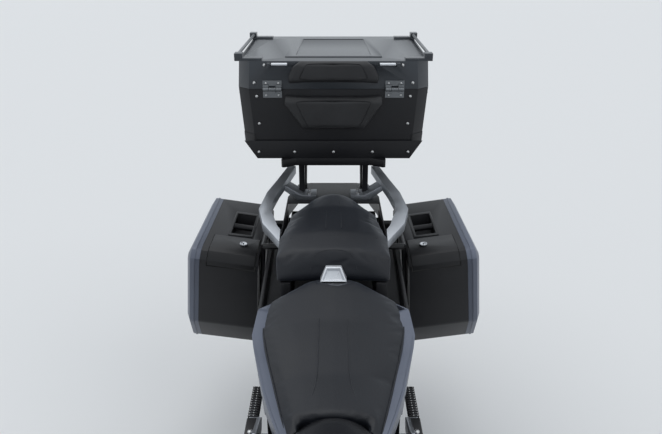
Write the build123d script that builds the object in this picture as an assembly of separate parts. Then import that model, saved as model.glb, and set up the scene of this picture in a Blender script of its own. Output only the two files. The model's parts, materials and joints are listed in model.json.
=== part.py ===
from build123d import *
import os
from math import atan2, cos, degrees, hypot, pi, radians, sin, tan

# Sport touring motorcycle with two panniers and a top case, on its centre stand.
# Millimetres. X points to the rider's left, Y to the rear and Z up. The origin is on the floor,
# in the middle of the length. Points are (y, z) in side view and (x, y) in plan.

# Wheels
FRONT_AXLE_Y = -950.0
SWING_PIVOT_Y = 60.0
SWING_LENGTH = 450.0
REAR_AXLE_Y = SWING_PIVOT_Y + SWING_LENGTH
BEAD_R = 216.0
FRONT_PROFILE = 84.0
REAR_PROFILE = 99.0
FRONT_TYRE_R = BEAD_R + FRONT_PROFILE
REAR_TYRE_R = BEAD_R + REAR_PROFILE
REAR_LIFT = 26.0
FRONT_AXLE_Z = FRONT_TYRE_R
REAR_AXLE_Z = REAR_TYRE_R + REAR_LIFT
FRONT_TYRE_HALF = 60.0
REAR_TYRE_HALF = 90.0
SHOULDER_SHARE = 0.4
CARCASS = 9.0
TREAD_BANDS = 6
CROWN_FACETS = 8
NOSE_FACETS = 10
FIN_ROWS = 9
LINER_BANDS = 2
WHEEL_SIDES = 48
TUBE_SIDES = 12
COVER_SIDES = 24
FLATNESS = 0.001
FLANGE = 11.0
FRONT_RIM_HALF = 44.0
REAR_RIM_HALF = 70.0
RIM_WALL = 7.0
HUB_R = 38.0
FRONT_HUB_HALF = 60.0
REAR_HUB_HALF = 74.0
AXLE_R = 12.5
AXLE_BORE_R = 8.0
PIN_GAP = 0.4
SPOKES = 5
FRONT_DISC_R = 160.0
REAR_DISC_R = 132.0
DISC_THICK = 5.0

# Steering: rake from the vertical, trail on the floor, fork offset from the steering axis
RAKE = 26.0
TRAIL = 107.0
STEER_FOOT_Y = FRONT_AXLE_Y - TRAIL
FORK_OFFSET = FRONT_AXLE_Z * sin(radians(RAKE)) - TRAIL * cos(radians(RAKE))
FORK_SPREAD = 105.0
STANCHION_R = 21.5
SLIDER_R = 29.0
SLIDER_TOP = 620.0
AXLE_T = TRAIL * sin(radians(RAKE)) + FRONT_AXLE_Z * cos(radians(RAKE))
LOWER_YOKE_T = 880.0
YOKE_THICK = 28.0
TOP_YOKE_T = 1060.0
HEAD_TUBE_R = 32.0
STEM_R = 14.0
HEAD_GAP = 0.5
STEER_LOCK = 30.0
FORK_ROOM = 5.5
BAR_R = 11.0
GRIP_R = 17.0
BAR_POINTS = [(350, 112, 1183), (215, 75, 1197), (90, 14, 1172)]
BAR_BEND_R = 45.0
RISER_X = 50.0

# Frame
PLATE_OUT = 190.0
PLATE_IN = 158.0
SUBFRAME_OUT = 138.0
SUBFRAME_IN = 112.0
SWING_PIVOT_Z = 400.0
SWING_OUT = 150.0
SWING_IN = 106.0
STAND_PIVOT_Y = 130.0
STAND_PIVOT_Z = 282.0
STAND_FOOT_Y = 92.0
STAND_FOOT_X = 170.0
STAND_TUBE_R = 17.0
STAND_PIN_R = 8.0
SIDE_STAND_AT = (186.0, -190.0, 258.0)
SIDE_STAND_LENGTH = 255.0
SIDE_STAND_FOLDED = (0.05, 0.99, -0.10)
SIDE_STAND_DOWN = (0.42, -0.30, -0.86)
SIDE_STAND_EYE = 24.0

# Seats and tank
SEAT_BASE_Z = 775.0
PILLION_BASE_Z = 850.0
SEAT_NOSE_Y = -205.0
SEAT_JOIN_Y = 318.0
PILLION_END_Y = 742.0
SOFT_GAP = 0.3
TANK_FRONT_Y = -490.0
TANK_END_Y = -165.0

# Hard cases
CASE_WALL = 3.0
SEAM = 0.5
TOP_CASE_HALF = 295.0
TOP_CASE_FRONT_Y = 800.0
TOP_CASE_REAR_Y = 1250.0
RAIL_WEB_Z = 919.0
RACK_RISE = 93.0
RACK_Z = RAIL_WEB_Z + RACK_RISE
RACK_THICK = 25.0
TUB_TALL = 220.0
LID_TALL = 83.0
LID_RISE = 22.0
TOP_CASE_BASE_Z = RACK_Z + RACK_THICK
TOP_CASE_SEAM_Z = TOP_CASE_BASE_Z + TUB_TALL
TOP_CASE_TOP_Z = TOP_CASE_SEAM_Z + LID_TALL
TOP_CASE_CORNER = 36.0
PAD_HALF = 149.0
PANEL_RISE = 2.5
RAIL_R = 5.0
PANNIER_TOP_X = 224.0
PANNIER_TOP_Z = 802.0
PANNIER_SHELL = 172.0
PANNIER_LID_RIM = 28.0
PANNIER_LID_CROWN = 12.0
PANNIER_LID_SLOPE = 64.0
LID_RIB = 2.0
PANNIER_SPLAY = 8.4
PANNIER_INNER_SPLAY = 4.7
PANNIER_WALL = 4.0
PANNIER_CORNER = 36.0
LOCK_PLATE = 4.0
PANNIER_OUTLINE = [
    (540, 0), (985, 0), (1044, -72), (1044, -270), (985, -398), (700, -400), (604, -280),
]
PANNIER_HINGE_Z = -405.0
PANNIER_HINGE_R = 5.0
PANNIER_KNUCKLES = ((720.0, 762.0), (896.0, 938.0))
HINGE_PROUD = 7.0

# Fairing
FAIRING_WALL = 4.0
FAIRING_BACK_Y = -150.0

STEER = Plane(
    origin=(0, STEER_FOOT_Y, 0),
    x_dir=(1, 0, 0),
    z_dir=(0, sin(radians(RAKE)), cos(radians(RAKE))),
)
FRONT_AXLE = Pos(0, FRONT_AXLE_Y, FRONT_AXLE_Z)
REAR_AXLE = Pos(0, REAR_AXLE_Y, REAR_AXLE_Z)
ACROSS = Rot(0, 90, 0)


def flat(points, radius=0.0):
    """A closed outline in its own plane, with rounded corners."""
    outline = make_face(Polyline(*points, close=True))
    if radius:
        outline = fillet(outline.vertices(), radius)
    return outline


def both_sides(points):
    """The points with their mirror images, as one outline round the middle."""
    return points + [(-x, other) for x, other in reversed(points) if x]


def eased(points, radius, chords=3):
    """An outline's points with each corner rounded in short chords."""
    soft = []
    for index, point in enumerate(points):
        corner = Vector(*point)
        before = (Vector(*points[index - 1]) - corner).normalized()
        after = (Vector(*points[(index + 1) % len(points)]) - corner).normalized()
        half = radians(before.get_angle(after)) / 2
        middle = corner + (before + after).normalized() * (radius / sin(half))
        start, stop = (corner + way * (radius / tan(half)) for way in (before, after))
        for step in range(chords + 1):
            spoke = start + (stop - start) * (step / chords) - middle
            place = middle + spoke.normalized() * radius
            soft.append((place.X, place.Y))
    return soft


def side_plate(points, x_from, x_to, radius=0.0):
    """A plate with a side-view outline, from one X to another."""
    return Pos(x_from, 0, 0) * extrude(Plane.YZ * flat(points, radius), amount=x_to - x_from)


def plan_plate(points, z_from, z_to, radius=0.0):
    """A plate with a plan outline, from one height to another."""
    return Pos(0, 0, z_from) * extrude(flat(points, radius), amount=z_to - z_from)


def pin(start, end, radius):
    """A true cylinder between two points, for pins, stems and bores."""
    along = Vector(*end) - Vector(*start)
    return Plane(origin=start, z_dir=along) * Cylinder(
        radius, along.length, align=(Align.CENTER, Align.CENTER, Align.MIN)
    )


def front_plate(points, y_from, y_to):
    """A plate with a front-view outline of (x, z) points, from one Y to another."""
    return Pos(0, y_from, 0) * extrude(Plane.XZ * flat(points), amount=y_from - y_to)


def rod(start, end, radius):
    """A bar between two points, in flat facets to keep the model light."""
    along = Vector(*end) - Vector(*start)
    section = Plane(origin=start, z_dir=along) * RegularPolygon(radius, TUBE_SIDES)
    return extrude(section, amount=along.length)


def block(low, high):
    """A box from its lowest corner to its highest."""
    size = [b - a for a, b in zip(low, high)]
    centre = [(a + b) / 2 for a, b in zip(low, high)]
    return Pos(*centre) * Box(*size)


def bent_rod(points, bend, radius):
    """A round bar with its bends in short mitred lengths, which keeps them light."""
    runs = FilletPolyline(*points, radius=bend).edges()
    stops = [runs[0] @ 0]
    for run in runs:
        if run.geom_type != GeomType.LINE:
            stops += [run @ (1 / 3), run @ (2 / 3)]
        stops.append(run @ 1)
    path = Polyline(*stops)
    section = Plane(origin=path @ 0, z_dir=path % 0) * RegularPolygon(radius, TUBE_SIDES)
    return sweep(section, path=path, transition=Transition.RIGHT)


def pair(solid):
    """A solid and its mirror image on the other side of the motorcycle."""
    return [solid, mirror(solid, Plane.YZ)]


def drum(x_from, x_to, radius):
    """A cylinder about the X axis."""
    return Pos((x_from + x_to) / 2, 0, 0) * ACROSS * Cylinder(radius, x_to - x_from)


def puck(x_from, x_to, radius):
    """A solid round about the X axis that nothing turns on, in flat facets."""
    section = Plane.YZ * RegularPolygon(radius, COVER_SIDES)
    return Pos(x_from, 0, 0) * extrude(section, amount=x_to - x_from)


def facet(points):
    """One flat face."""
    return Face(Wire.make_polygon(points, close=True))


def skin(rings, closed=False):
    """A solid through rings of points, in flat faces, with ends unless it closes on itself."""
    rings = [[Vector(*point) for point in ring] for ring in rings]
    faces = [] if closed else [facet(rings[0]), facet(rings[-1])]
    pairs = list(zip(rings, rings[1:]))
    if closed:
        pairs.append((rings[-1], rings[0]))
    for low, high in pairs:
        for index in range(len(low)):
            a, b, c, d = low[index - 1], low[index], high[index], high[index - 1]
            normal = (b - a).cross(c - a)
            if normal.length and abs(normal.dot(d - a)) < FLATNESS * normal.length:
                faces.append(facet([a, b, c, d]))
            else:
                faces += [facet([a, b, c]), facet([a, c, d])]
    return Solid(Shell(faces))


def turned(section, sides=0, start=0.0, sweep=360.0):
    """A section of (x, radius) points turned about the X axis, in flat facets."""
    sides = sides or WHEEL_SIDES
    steps = round(sides * sweep / 360)
    turns = [radians(start + sweep * index / steps) for index in range(steps + (sweep < 360))]
    rings = [[(x, r * cos(turn), r * sin(turn)) for x, r in section] for turn in turns]
    return skin(rings, closed=sweep == 360)


def wheel_drum(x_from, x_to, radius, bore_r, sides=0):
    """A ring about the X axis, in flat facets."""
    return turned([(x_from, bore_r), (x_from, radius), (x_to, radius), (x_to, bore_r)], sides)


def crown_points(half, low, high, facets):
    """Points along a round crown from its right edge to its left edge."""
    reach = 2 * atan2(high - low, half)
    radius = half / sin(reach)
    turns = [reach * (2 * index / facets - 1) for index in range(facets + 1)]
    return [(radius * sin(turn), high - radius + radius * cos(turn)) for turn in turns]


def tyre(outer_r, half_width, rim_half):
    """An open carcass with a crown in narrow bands, about its axle."""
    above = BEAD_R + FLANGE + 1
    shoulder = BEAD_R + SHOULDER_SHARE * (outer_r - BEAD_R)
    outside = crown_points(half_width, shoulder, outer_r, TREAD_BANDS)
    inside = crown_points(half_width - CARCASS, shoulder, outer_r - CARCASS, LINER_BANDS)
    left = [(rim_half, above), (rim_half, BEAD_R), (rim_half - CARCASS, BEAD_R)]
    right = [(-x, r) for x, r in reversed(left)]
    return turned([*outside, *left, *reversed(inside), *right])


def rim(rim_half, hub_half, spoke_half, hub_bore_r):
    """A cast rim: a ring with a well and flanges, a hub and slotted spokes."""
    well = BEAD_R - 16
    lip = rim_half + 6
    side = [
        (rim_half - 15, BEAD_R), (rim_half, BEAD_R), (rim_half, BEAD_R + FLANGE), (lip, BEAD_R + FLANGE),
        (lip, BEAD_R - RIM_WALL),
    ]
    other = [(-x, r) for x, r in reversed(side)]
    wheel = turned([(0, well), *side, (0, well - RIM_WALL), *other])
    wheel += puck(-hub_half, hub_half, HUB_R)
    reach = well - RIM_WALL / 2
    spoke = side_plate(
        [(26, -32), (reach, -15), (reach, 15), (26, 32)], -spoke_half, spoke_half
    )
    slot = side_plate([(62, -9), (reach - 34, -5), (reach - 34, 5), (62, 9)], -60, 60)
    for index in range(SPOKES):
        wheel += Rot(360 / SPOKES * index + 90, 0, 0) * (spoke - slot)
    return wheel - drum(-hub_half - 1, hub_half + 1, hub_bore_r)


def disc(radius, hub_r):
    """A brake disc about X, from 0 to its thickness: a rubbed ring, arms and a centre."""
    band = 36.0
    part = wheel_drum(0, DISC_THICK, radius, radius - band)
    part += puck(0, DISC_THICK, hub_r + 22) - puck(-1, DISC_THICK + 1, hub_r)
    for index in range(6):
        arm = block((0, hub_r + 18, -9), (DISC_THICK, radius - band + 3, 9))
        part += Rot(60 * index, 0, 0) * arm
    return part


def front_wheel():
    """Rim, tyre and two discs."""
    spacer = FRONT_HUB_HALF
    right_disc = Pos(-spacer - DISC_THICK, 0, 0) * disc(FRONT_DISC_R, HUB_R - 10)
    left_disc = Pos(spacer, 0, 0) * disc(FRONT_DISC_R, HUB_R - 10)
    return {
        "front_rim": FRONT_AXLE * rim(FRONT_RIM_HALF, FRONT_HUB_HALF, 12, AXLE_R + PIN_GAP),
        "front_tyre": FRONT_AXLE * tyre(FRONT_TYRE_R, FRONT_TYRE_HALF, FRONT_RIM_HALF),
        "front_discs": [FRONT_AXLE * left_disc, FRONT_AXLE * right_disc],
    }


def rear_wheel():
    """Rim with the drive flange, tyre and one disc."""
    flange = puck(REAR_HUB_HALF - 1, SWING_IN - 1.5, 48)
    flange -= drum(REAR_HUB_HALF - 2, SWING_IN, AXLE_R + PIN_GAP)
    body = rim(REAR_RIM_HALF, REAR_HUB_HALF, 15, AXLE_R + PIN_GAP) + flange
    plate = Pos(-REAR_HUB_HALF - DISC_THICK, 0, 0) * disc(REAR_DISC_R, HUB_R - 10)
    return {
        "rear_rim": REAR_AXLE * body,
        "rear_tyre": REAR_AXLE * tyre(REAR_TYRE_R, REAR_TYRE_HALF, REAR_RIM_HALF),
        "rear_disc": REAR_AXLE * plate,
    }


def axles():
    """Hollow axles, with collars that hold the front hub and the rear disc side apart."""
    leg_in = FORK_SPREAD - SLIDER_R
    end = FORK_SPREAD + 30
    front = drum(-end, end, AXLE_R)
    for side in (-1, 1):
        near = FRONT_HUB_HALF + PIN_GAP
        front += puck(*sorted((side * near, side * leg_in)), 20)
    front -= drum(-end - 1, end + 1, AXLE_BORE_R)
    rear = drum(-SWING_OUT - 12, SWING_OUT + 34, AXLE_R)
    rear += puck(-SWING_IN, -REAR_HUB_HALF - PIN_GAP, 20)
    rear += puck(-SWING_OUT - 12, -SWING_OUT, 20)
    rear -= drum(-SWING_OUT - 13, SWING_OUT + 35, AXLE_BORE_R)
    return {"front_axle": FRONT_AXLE * front, "rear_axle": REAR_AXLE * rear}


def yoke(level, thick, tail):
    """A yoke plate in the steering frame, with holes for the stanchions."""
    half = FORK_SPREAD + STANCHION_R + 14
    points = [
        (-half, -FORK_OFFSET - 32), (-60, -FORK_OFFSET - 30), (60, -FORK_OFFSET - 30),
        (half, -FORK_OFFSET - 32), (half, -FORK_OFFSET + 30), (48, tail), (-48, tail),
        (-half, -FORK_OFFSET + 30),
    ]
    plate = plan_plate(points, level, level + thick, 14)
    for side in (-1, 1):
        plate -= Pos(side * FORK_SPREAD, -FORK_OFFSET, level + thick / 2) * Cylinder(
            STANCHION_R, thick + 2
        )
    return plate


def steering():
    """Fork, yokes with their stem, bar, grips, levers, fender and calipers."""
    legs = []
    for side in (-1, 1):
        at = Pos(side * FORK_SPREAD, -FORK_OFFSET, 0)
        slider = rod((0, 0, AXLE_T), (0, 0, SLIDER_TOP), SLIDER_R)
        foot = Pos(0, 0, AXLE_T) * puck(-SLIDER_R, 26, 25)
        leg = slider + foot + rod((0, 0, SLIDER_TOP - 20), (0, 0, TOP_YOKE_T + YOKE_THICK + 8), STANCHION_R)
        leg -= Pos(0, 0, AXLE_T) * drum(-60, 60, AXLE_R)
        legs.append(STEER * (at * leg))
    lower = yoke(LOWER_YOKE_T, YOKE_THICK, 42)
    upper = yoke(TOP_YOKE_T, YOKE_THICK - 4, 42)
    stem = pin((0, 0, LOWER_YOKE_T), (0, 0, TOP_YOKE_T + YOKE_THICK), STEM_R)
    yokes = STEER * (lower + upper + stem)

    left = list(BAR_POINTS)
    right = [(-x, s, t) for x, s, t in reversed(BAR_POINTS)]
    bar = bent_rod(left + right, BAR_BEND_R, BAR_R)
    for side in (-1, 1):
        foot = (side * RISER_X, BAR_POINTS[2][1], TOP_YOKE_T + YOKE_THICK - 4)
        bar += rod(foot, (side * RISER_X, BAR_POINTS[2][1], BAR_POINTS[2][2] + 14), 17)

    grips = []
    levers = []
    outer, inner = Vector(*BAR_POINTS[0]), Vector(*BAR_POINTS[1])
    along = (inner - outer).normalized()
    for side in (-1, 1):
        def on(point, side=side):
            return (side * point.X, point.Y, point.Z)

        start = outer - along * 8
        stop = outer + along * 100
        grip = rod(on(start), on(stop), GRIP_R)
        grip -= pin(on(outer), on(stop + along), BAR_R + SOFT_GAP)
        grips.append(STEER * grip)
        perch_at = stop + along * 15
        perch = rod(on(stop + along * 2), on(stop + along * 28), 19)
        ahead = Vector(0, -52, 4)
        tip = outer + ahead + along * 12
        pivot = perch_at + ahead * 0.75
        perch += rod(on(perch_at), on(pivot), 12)
        perch += rod(on(pivot), on(tip), 6)
        perch += rod(on(pivot + Vector(0, 8, -4)), on(pivot + Vector(0, 8, 30)), 20)
        perch -= pin(on(outer), on(stop + along * 40), BAR_R + SOFT_GAP)
        levers.append(STEER * perch)

    fender = front_fender(legs)
    return {
        "fork": legs,
        "yokes": yokes,
        "handlebar": STEER * bar,
        "grips": grips,
        "hand_levers": levers,
        "front_fender": fender,
        "front_calipers": front_calipers(legs),
    }


def front_fender(legs):
    """A curved shell over the tyre, with a lug to each slider."""
    half, wall = FRONT_TYRE_HALF + 10, 3.5
    top, low = FRONT_TYRE_R + 20, FRONT_TYRE_R - 26
    outside = [
        (-half, low), (-half, top - 24), (22 - half, top), (half - 22, top), (half, top - 24), (half, low),
    ]
    inside = [
        (half - wall, low), (half - wall, top - 25), (half - 23.5, top - wall), (23.5 - half, top - wall),
        (wall - half, top - 25), (wall - half, low),
    ]
    shell = FRONT_AXLE * turned([*outside, *inside], start=15, sweep=112.5)
    for side in (-1, 1):
        near, far = sorted((side * (half - wall), side * (FORK_SPREAD - 14)))
        lug = STEER * block((near, -FORK_OFFSET - 22, 540), (far, -FORK_OFFSET + 22, 600))
        shell += lug
    for leg in legs:
        shell -= leg
    return shell


def front_calipers(legs):
    """A block round each disc behind its slider, with the arm that it bolts to."""
    calipers = []
    for side, leg in zip((-1, 1), legs):
        near, far = sorted((side * (FRONT_HUB_HALF - 10), side * (FORK_SPREAD - 12)))
        body = STEER * block((near, 18, AXLE_T + 40), (far, 78, AXLE_T + 150))
        body = fillet(body.edges().filter_by(Axis.X), 10)
        arm_near, arm_far = sorted((side * (FORK_SPREAD - 20), side * (FORK_SPREAD - 12)))
        body += STEER * block((arm_near, -30, AXLE_T + 60), (arm_far, 40, AXLE_T + 130))
        groove = drum(
            *sorted((side * (FRONT_HUB_HALF - 2), side * (FRONT_HUB_HALF + DISC_THICK + 2))),
            FRONT_DISC_R + 4,
        )
        body -= FRONT_AXLE * groove
        calipers.append(body - leg)
    return calipers


def fork_sweep():
    """The room that the stanchions pass through between the yokes, from lock to lock."""
    reach = hypot(FORK_SPREAD, FORK_OFFSET)
    rest = degrees(atan2(-FORK_OFFSET, FORK_SPREAD))
    half = STANCHION_R + FORK_ROOM
    low, high = LOWER_YOKE_T, TOP_YOKE_T + YOKE_THICK
    face = make_face(
        Polyline((reach - half, 0, low), (reach + half, 0, low), (reach + half, 0, high),
                 (reach - half, 0, high), close=True)
    )
    swept = Rot(0, 0, rest - STEER_LOCK) * revolve(face, Axis.Z, 2 * STEER_LOCK)
    for turn in (rest - STEER_LOCK, rest + STEER_LOCK):
        swept += Rot(0, 0, turn) * rod((reach, 0, low), (reach, 0, high), half)
    return STEER * (swept + mirror(swept, Plane.YZ))


def spar_profile():
    """Side view of the main frame, from the head tube to the stand lugs."""
    return [
        (-680, 800), (-640, 965), (-560, 950), (-400, 885), (-200, 775), (-20, 650),
        (95, 560), (120, 430), (165, 300), (155, 255), (105, 255), (40, 330), (20, 470),
        (-110, 560), (-300, 680), (-480, 775), (-600, 790),
    ]


def main_frame():
    """Two spars from the head tube to the pivot plates, with the cross members."""
    band = plan_plate(
        [
            (10, -690), (46, -640), (222, -430), (225, -230), (PLATE_OUT, -40),
            (PLATE_OUT, 200), (PLATE_IN, 200), (PLATE_IN, -60), (193, -240), (190, -415),
            (30, -590), (10, -590),
        ],
        200, 1000,
    )
    spar = side_plate(spar_profile(), 0, 260) & band
    frame = spar + mirror(spar, Plane.YZ)
    frame += STEER * Pos(0, 0, LOWER_YOKE_T + YOKE_THICK + 80) * Cylinder(HEAD_TUBE_R, 190)
    frame += block((-34, -640, 830), (34, TANK_FRONT_Y - 14, 900))
    frame += rod((-200, -165, 742), (200, -165, 742), 15)
    frame += block((-60, -190, 745), (60, -140, SEAT_BASE_Z))
    inside = fairing_form(FAIRING_WALL + SEAM / 2)
    for side in (-1, 1):
        frame += rod((side * 210, -300, 790), (side * 260, -300, 790), 10) & inside
    low = LOWER_YOKE_T + YOKE_THICK + HEAD_GAP
    high = TOP_YOKE_T - HEAD_GAP
    frame -= STEER * Pos(0, 0, low - 150) * Cylinder(160, 300)
    frame -= STEER * Pos(0, 0, high + 100) * Cylinder(160, 200)
    frame -= STEER * Pos(0, 0, 1000) * Cylinder(STEM_R + PIN_GAP, 500)
    frame -= fork_sweep()
    for side in (-1, 1):
        pivot = Pos(side * (PLATE_IN + PLATE_OUT) / 2, SWING_PIVOT_Y, SWING_PIVOT_Z)
        frame -= pivot * ACROSS * Cylinder(12, 80)
        lug = Pos(side * (PLATE_IN + PLATE_OUT) / 2, STAND_PIVOT_Y, STAND_PIVOT_Z)
        frame -= lug * ACROSS * Cylinder(STAND_PIN_R + PIN_GAP, 80)
    return frame


def subframe():
    """Two cast side plates under the seats and tail, joined across."""
    points = [
        (-60, 700), (-60, SEAT_BASE_Z), (SEAT_JOIN_Y, SEAT_BASE_Z), (SEAT_JOIN_Y, PILLION_BASE_Z),
        (806, PILLION_BASE_Z), (806, 812), (560, 790), (330, 690), (110, 545), (40, 500), (-20, 560),
    ]
    window = [(60, 740), (280, 745), (280, 715), (110, 610), (30, 640)]
    plate = side_plate(points, SUBFRAME_IN, SUBFRAME_OUT) - side_plate(window, 100, 150, 8)
    part = plate + mirror(plate, Plane.YZ)
    for y, z in ((96, 588), (200, 634), (560, 822)):
        part += rod((-SUBFRAME_IN - 2, y, z), (SUBFRAME_IN + 2, y, z), 12)
    part += block((-SUBFRAME_IN - 2, 796, 815), (SUBFRAME_IN + 2, 806, PILLION_BASE_Z))
    for side in (-1, 1):
        for y, z in ((40, 540), (-20, 600)):
            part += rod((side * (SUBFRAME_OUT - 2), y, z), (side * PLATE_IN, y, z), 16)
        for y, z, reach in ((0, 757, 154), (300, 760, 158.6), (520, 838, 145.7), (760, 838, 145.7)):
            part += rod((side * (SUBFRAME_OUT - 2), y, z), (side * reach, y, z), 8)
    return part


def engine():
    """Transverse four, closed by the fairing: crankcase, inclined cylinders and side covers."""
    crankcase = side_plate(
        [
            (-430, 330), (-470, 450), (-430, 560), (-120, 560), (5, 480), (15, 400), (-40, 300),
            (-360, 288),
        ],
        -165, 165, 12,
    )
    sump = side_plate([(-340, 245), (-350, 300), (-130, 300), (-150, 245)], -90, 90, 8)
    cylinders = side_plate([(-430, 550), (-520, 720), (-300, 765), (-235, 550)], -182, 182, 8)
    body = crankcase + sump + cylinders
    for x_from, x_to, y, z, r in ((-205, -160, -150, 425, 88), (160, 198, -250, 415, 78)):
        body += Pos(0, y, z) * wheel_drum(x_from, x_to, r, r / 2, COVER_SIDES)
        body += Pos(0, y, z) * puck(x_from, x_to, r / 2)
    body += block((150, -225, 262), (PLATE_IN + 5, -150, 330))
    inside = fairing_form(FAIRING_WALL + SEAM / 2)
    for side in (-1, 1):
        body += rod((side * 150, -400, 380), (side * 300, -400, 380), 10) & inside
    at, axis = Vector(*SIDE_STAND_AT), side_stand_axis()
    body += rod(tuple(at + axis * (SIDE_STAND_EYE / 2 + PIN_GAP)), tuple(at + axis * 48), 20)
    return body - pin(tuple(at), tuple(at + axis * 60), STAND_PIN_R + PIN_GAP)


def swingarm():
    """Pivot tube, cross piece, right leg, and the left leg that houses the drive shaft."""
    y_axle, z_axle = REAR_AXLE_Y, REAR_AXLE_Z
    leg = [
        (SWING_PIVOT_Y - 10, SWING_PIVOT_Z + 30), (y_axle + 38, z_axle + 26),
        (y_axle + 38, z_axle - 26), (SWING_PIVOT_Y - 10, SWING_PIVOT_Z - 32),
    ]
    arm = side_plate(leg, -SWING_OUT, -SWING_IN, 12) + side_plate(leg, SWING_IN, SWING_OUT, 12)
    arm += Pos(0, SWING_PIVOT_Y, SWING_PIVOT_Z) * puck(-PLATE_IN + HEAD_GAP, PLATE_IN - HEAD_GAP, 30)
    cross_end = REAR_AXLE_Y - REAR_TYRE_R - 47
    arm += block((5 - SWING_OUT, SWING_PIVOT_Y, 362), (SWING_OUT - 5, cross_end, 408))
    shaft_x = (SWING_IN + SWING_OUT) / 2
    arm += rod((shaft_x, SWING_PIVOT_Y + 40, SWING_PIVOT_Z - 6), (shaft_x, y_axle - 58, z_axle + 8), 30)
    hub_end = SWING_OUT + 30
    housing = [(SWING_IN, AXLE_R), (SWING_IN, 80), (hub_end - 18, 80), (hub_end, 52), (hub_end, AXLE_R)]
    arm += REAR_AXLE * turned(housing, COVER_SIDES)
    arm -= REAR_AXLE * drum(-200, 200, AXLE_R)
    for side in (-1, 1):
        bolt = pin(
            (side * (PLATE_IN - 4), SWING_PIVOT_Y, SWING_PIVOT_Z),
            (side * PLATE_OUT, SWING_PIVOT_Y, SWING_PIVOT_Z), 12,
        )
        arm += bolt
    caliper = block((-SWING_IN, y_axle - 150, z_axle + 30), (-REAR_HUB_HALF + 8, y_axle - 85, z_axle + 95))
    caliper += block((-SWING_IN - 6, y_axle - 140, z_axle - 10), (-SWING_IN + 6, y_axle - 95, z_axle + 60))
    groove = REAR_AXLE * drum(-REAR_HUB_HALF - DISC_THICK - 2, -REAR_HUB_HALF + 2, REAR_DISC_R + 4)
    return {"swingarm": arm, "rear_caliper": caliper - groove - arm}


def rear_shock(arm, rear_frame):
    """Damper with its spring, from the swingarm to the frame's cross member."""
    low, high = (0, 112, 400), (0, 96, 588)
    part = rod(low, high, 18)
    along = Vector(*high) - Vector(*low)
    part += rod(tuple(Vector(*low) + along * 0.2), tuple(Vector(*low) + along * 0.8), 30)
    return part - arm - rear_frame


def radiator():
    """A leaning core between two side tanks, bolted to the cylinders."""
    lean = [(-585, 740), (-548, 740), (-520, 480), (-557, 480)]
    core = side_plate(lean, -165, 165)
    along = Vector(0, 28, -260)
    for index in range(1, FIN_ROWS):
        at = Vector(0, -585, 740) + along * (index / FIN_ROWS)
        core += block((-165, at.Y - 3, at.Z - 3), (165, at.Y + 6, at.Z + 3))
    tanks = side_plate(lean, -190, -165, 6) + side_plate(lean, 165, 190, 6)
    stays = block((-120, -560, 690), (-100, -500, 712)) + block((100, -560, 690), (120, -500, 712))
    return core + tanks + stays


def exhaust(motor):
    """Four headers into a collector, then a low silencer with its outlet on the right."""
    part = side_plate([(-330, 170), (-345, 236), (-60, 236), (-40, 205), (-60, 170)], -125, 125, 14)
    part += rod((-105, -80, 200), (-160, -20, 205), 24) - rod((-118, -66, 201), (-165, -14, 205.5), 20)
    for x in (-123, -41, 41, 123):
        points = [
            (x, -455, 628), (x, -501, 606), (x, -498, 330), (x * 0.62, -420, 218), (x * 0.5, -325, 205),
        ]
        part += bent_rod(points, 26, 19)
    return part - motor


def crowned(stations):
    """A soft or pressed form along Y, with a flat base and a crowned top.

    Each station is its Y, half width, base height, edge height and crown height.
    """
    rings = []
    for y, half, base, edge, crown in stations:
        over = crown_points(half, edge, crown, CROWN_FACETS)
        rings.append([(x, y, z) for x, z in [(-half, base), *over, (half, base)]])
    return skin(rings)


def seats_and_tank(frame):
    """Rider's seat, passenger's seat, the catch between them and the tank."""
    tank = crowned(
        [
            (TANK_END_Y, 68, 779, 806, 842),
            (-225, 88, 779, 832, 884),
            (-330, 138, 782, 884, 950),
            (-430, 162, 792, 926, 1012),
            (TANK_FRONT_Y, 122, 800, 930, 1006),
        ]
    )
    base = SEAT_BASE_Z + SOFT_GAP
    rider = crowned(
        [
            (SEAT_NOSE_Y, 92, base, 812, 838),
            (-40, 133, base, 812, 836),
            (140, 169, base, 824, 850),
            (250, 146, base, 842, 868),
            (SEAT_JOIN_Y - SOFT_GAP, 68, base, 858, 878),
        ]
    )
    rider -= block((-69, SEAT_NOSE_Y - 1, 700), (69, TANK_END_Y + SOFT_GAP, 900))
    rider -= tank
    base = PILLION_BASE_Z + SOFT_GAP
    pillion = crowned(
        [
            (SEAT_JOIN_Y + SOFT_GAP, 138, base, 860, 874),
            (352, 141, base, 905, 926),
            (440, 141, base, 918, 940),
            (610, 120, base, 918, 943),
            (PILLION_END_Y, 62, base, 912, 936),
        ]
    )
    catch = plan_plate([(-34, 296), (34, 296), (20, 334), (-20, 334)], 862, 896)
    catch -= plan_plate([(-25, 301), (25, 301), (14, 329), (-14, 329)], 880, 900)
    return {
        "fuel_tank": tank - frame,
        "rider_seat": rider - frame - catch,
        "passenger_seat": pillion - catch,
        "seat_catch": catch,
    }


def side_covers():
    """Painted panels under the seat's edges, one each side."""
    outer = [
        (104, -190), (125, -132), (146, -66), (180, 70), (188, 112), (184, 200), (166, 300), (152, 400),
        (150, 460),
    ]
    wall = 6.0
    band = plan_plate(outer + [(x - wall, y) for x, y in reversed(outer)], 500, 900)
    panel = side_plate(
        [(-190, 786), (-190, 818), (-60, 822), (60, 828), (150, 836), (300, 850), (460, 862),
         (460, 770), (300, 690), (170, 612), (70, 640), (-60, 760)],
        90, 200, 6,
    )
    return pair(band & panel)


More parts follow.
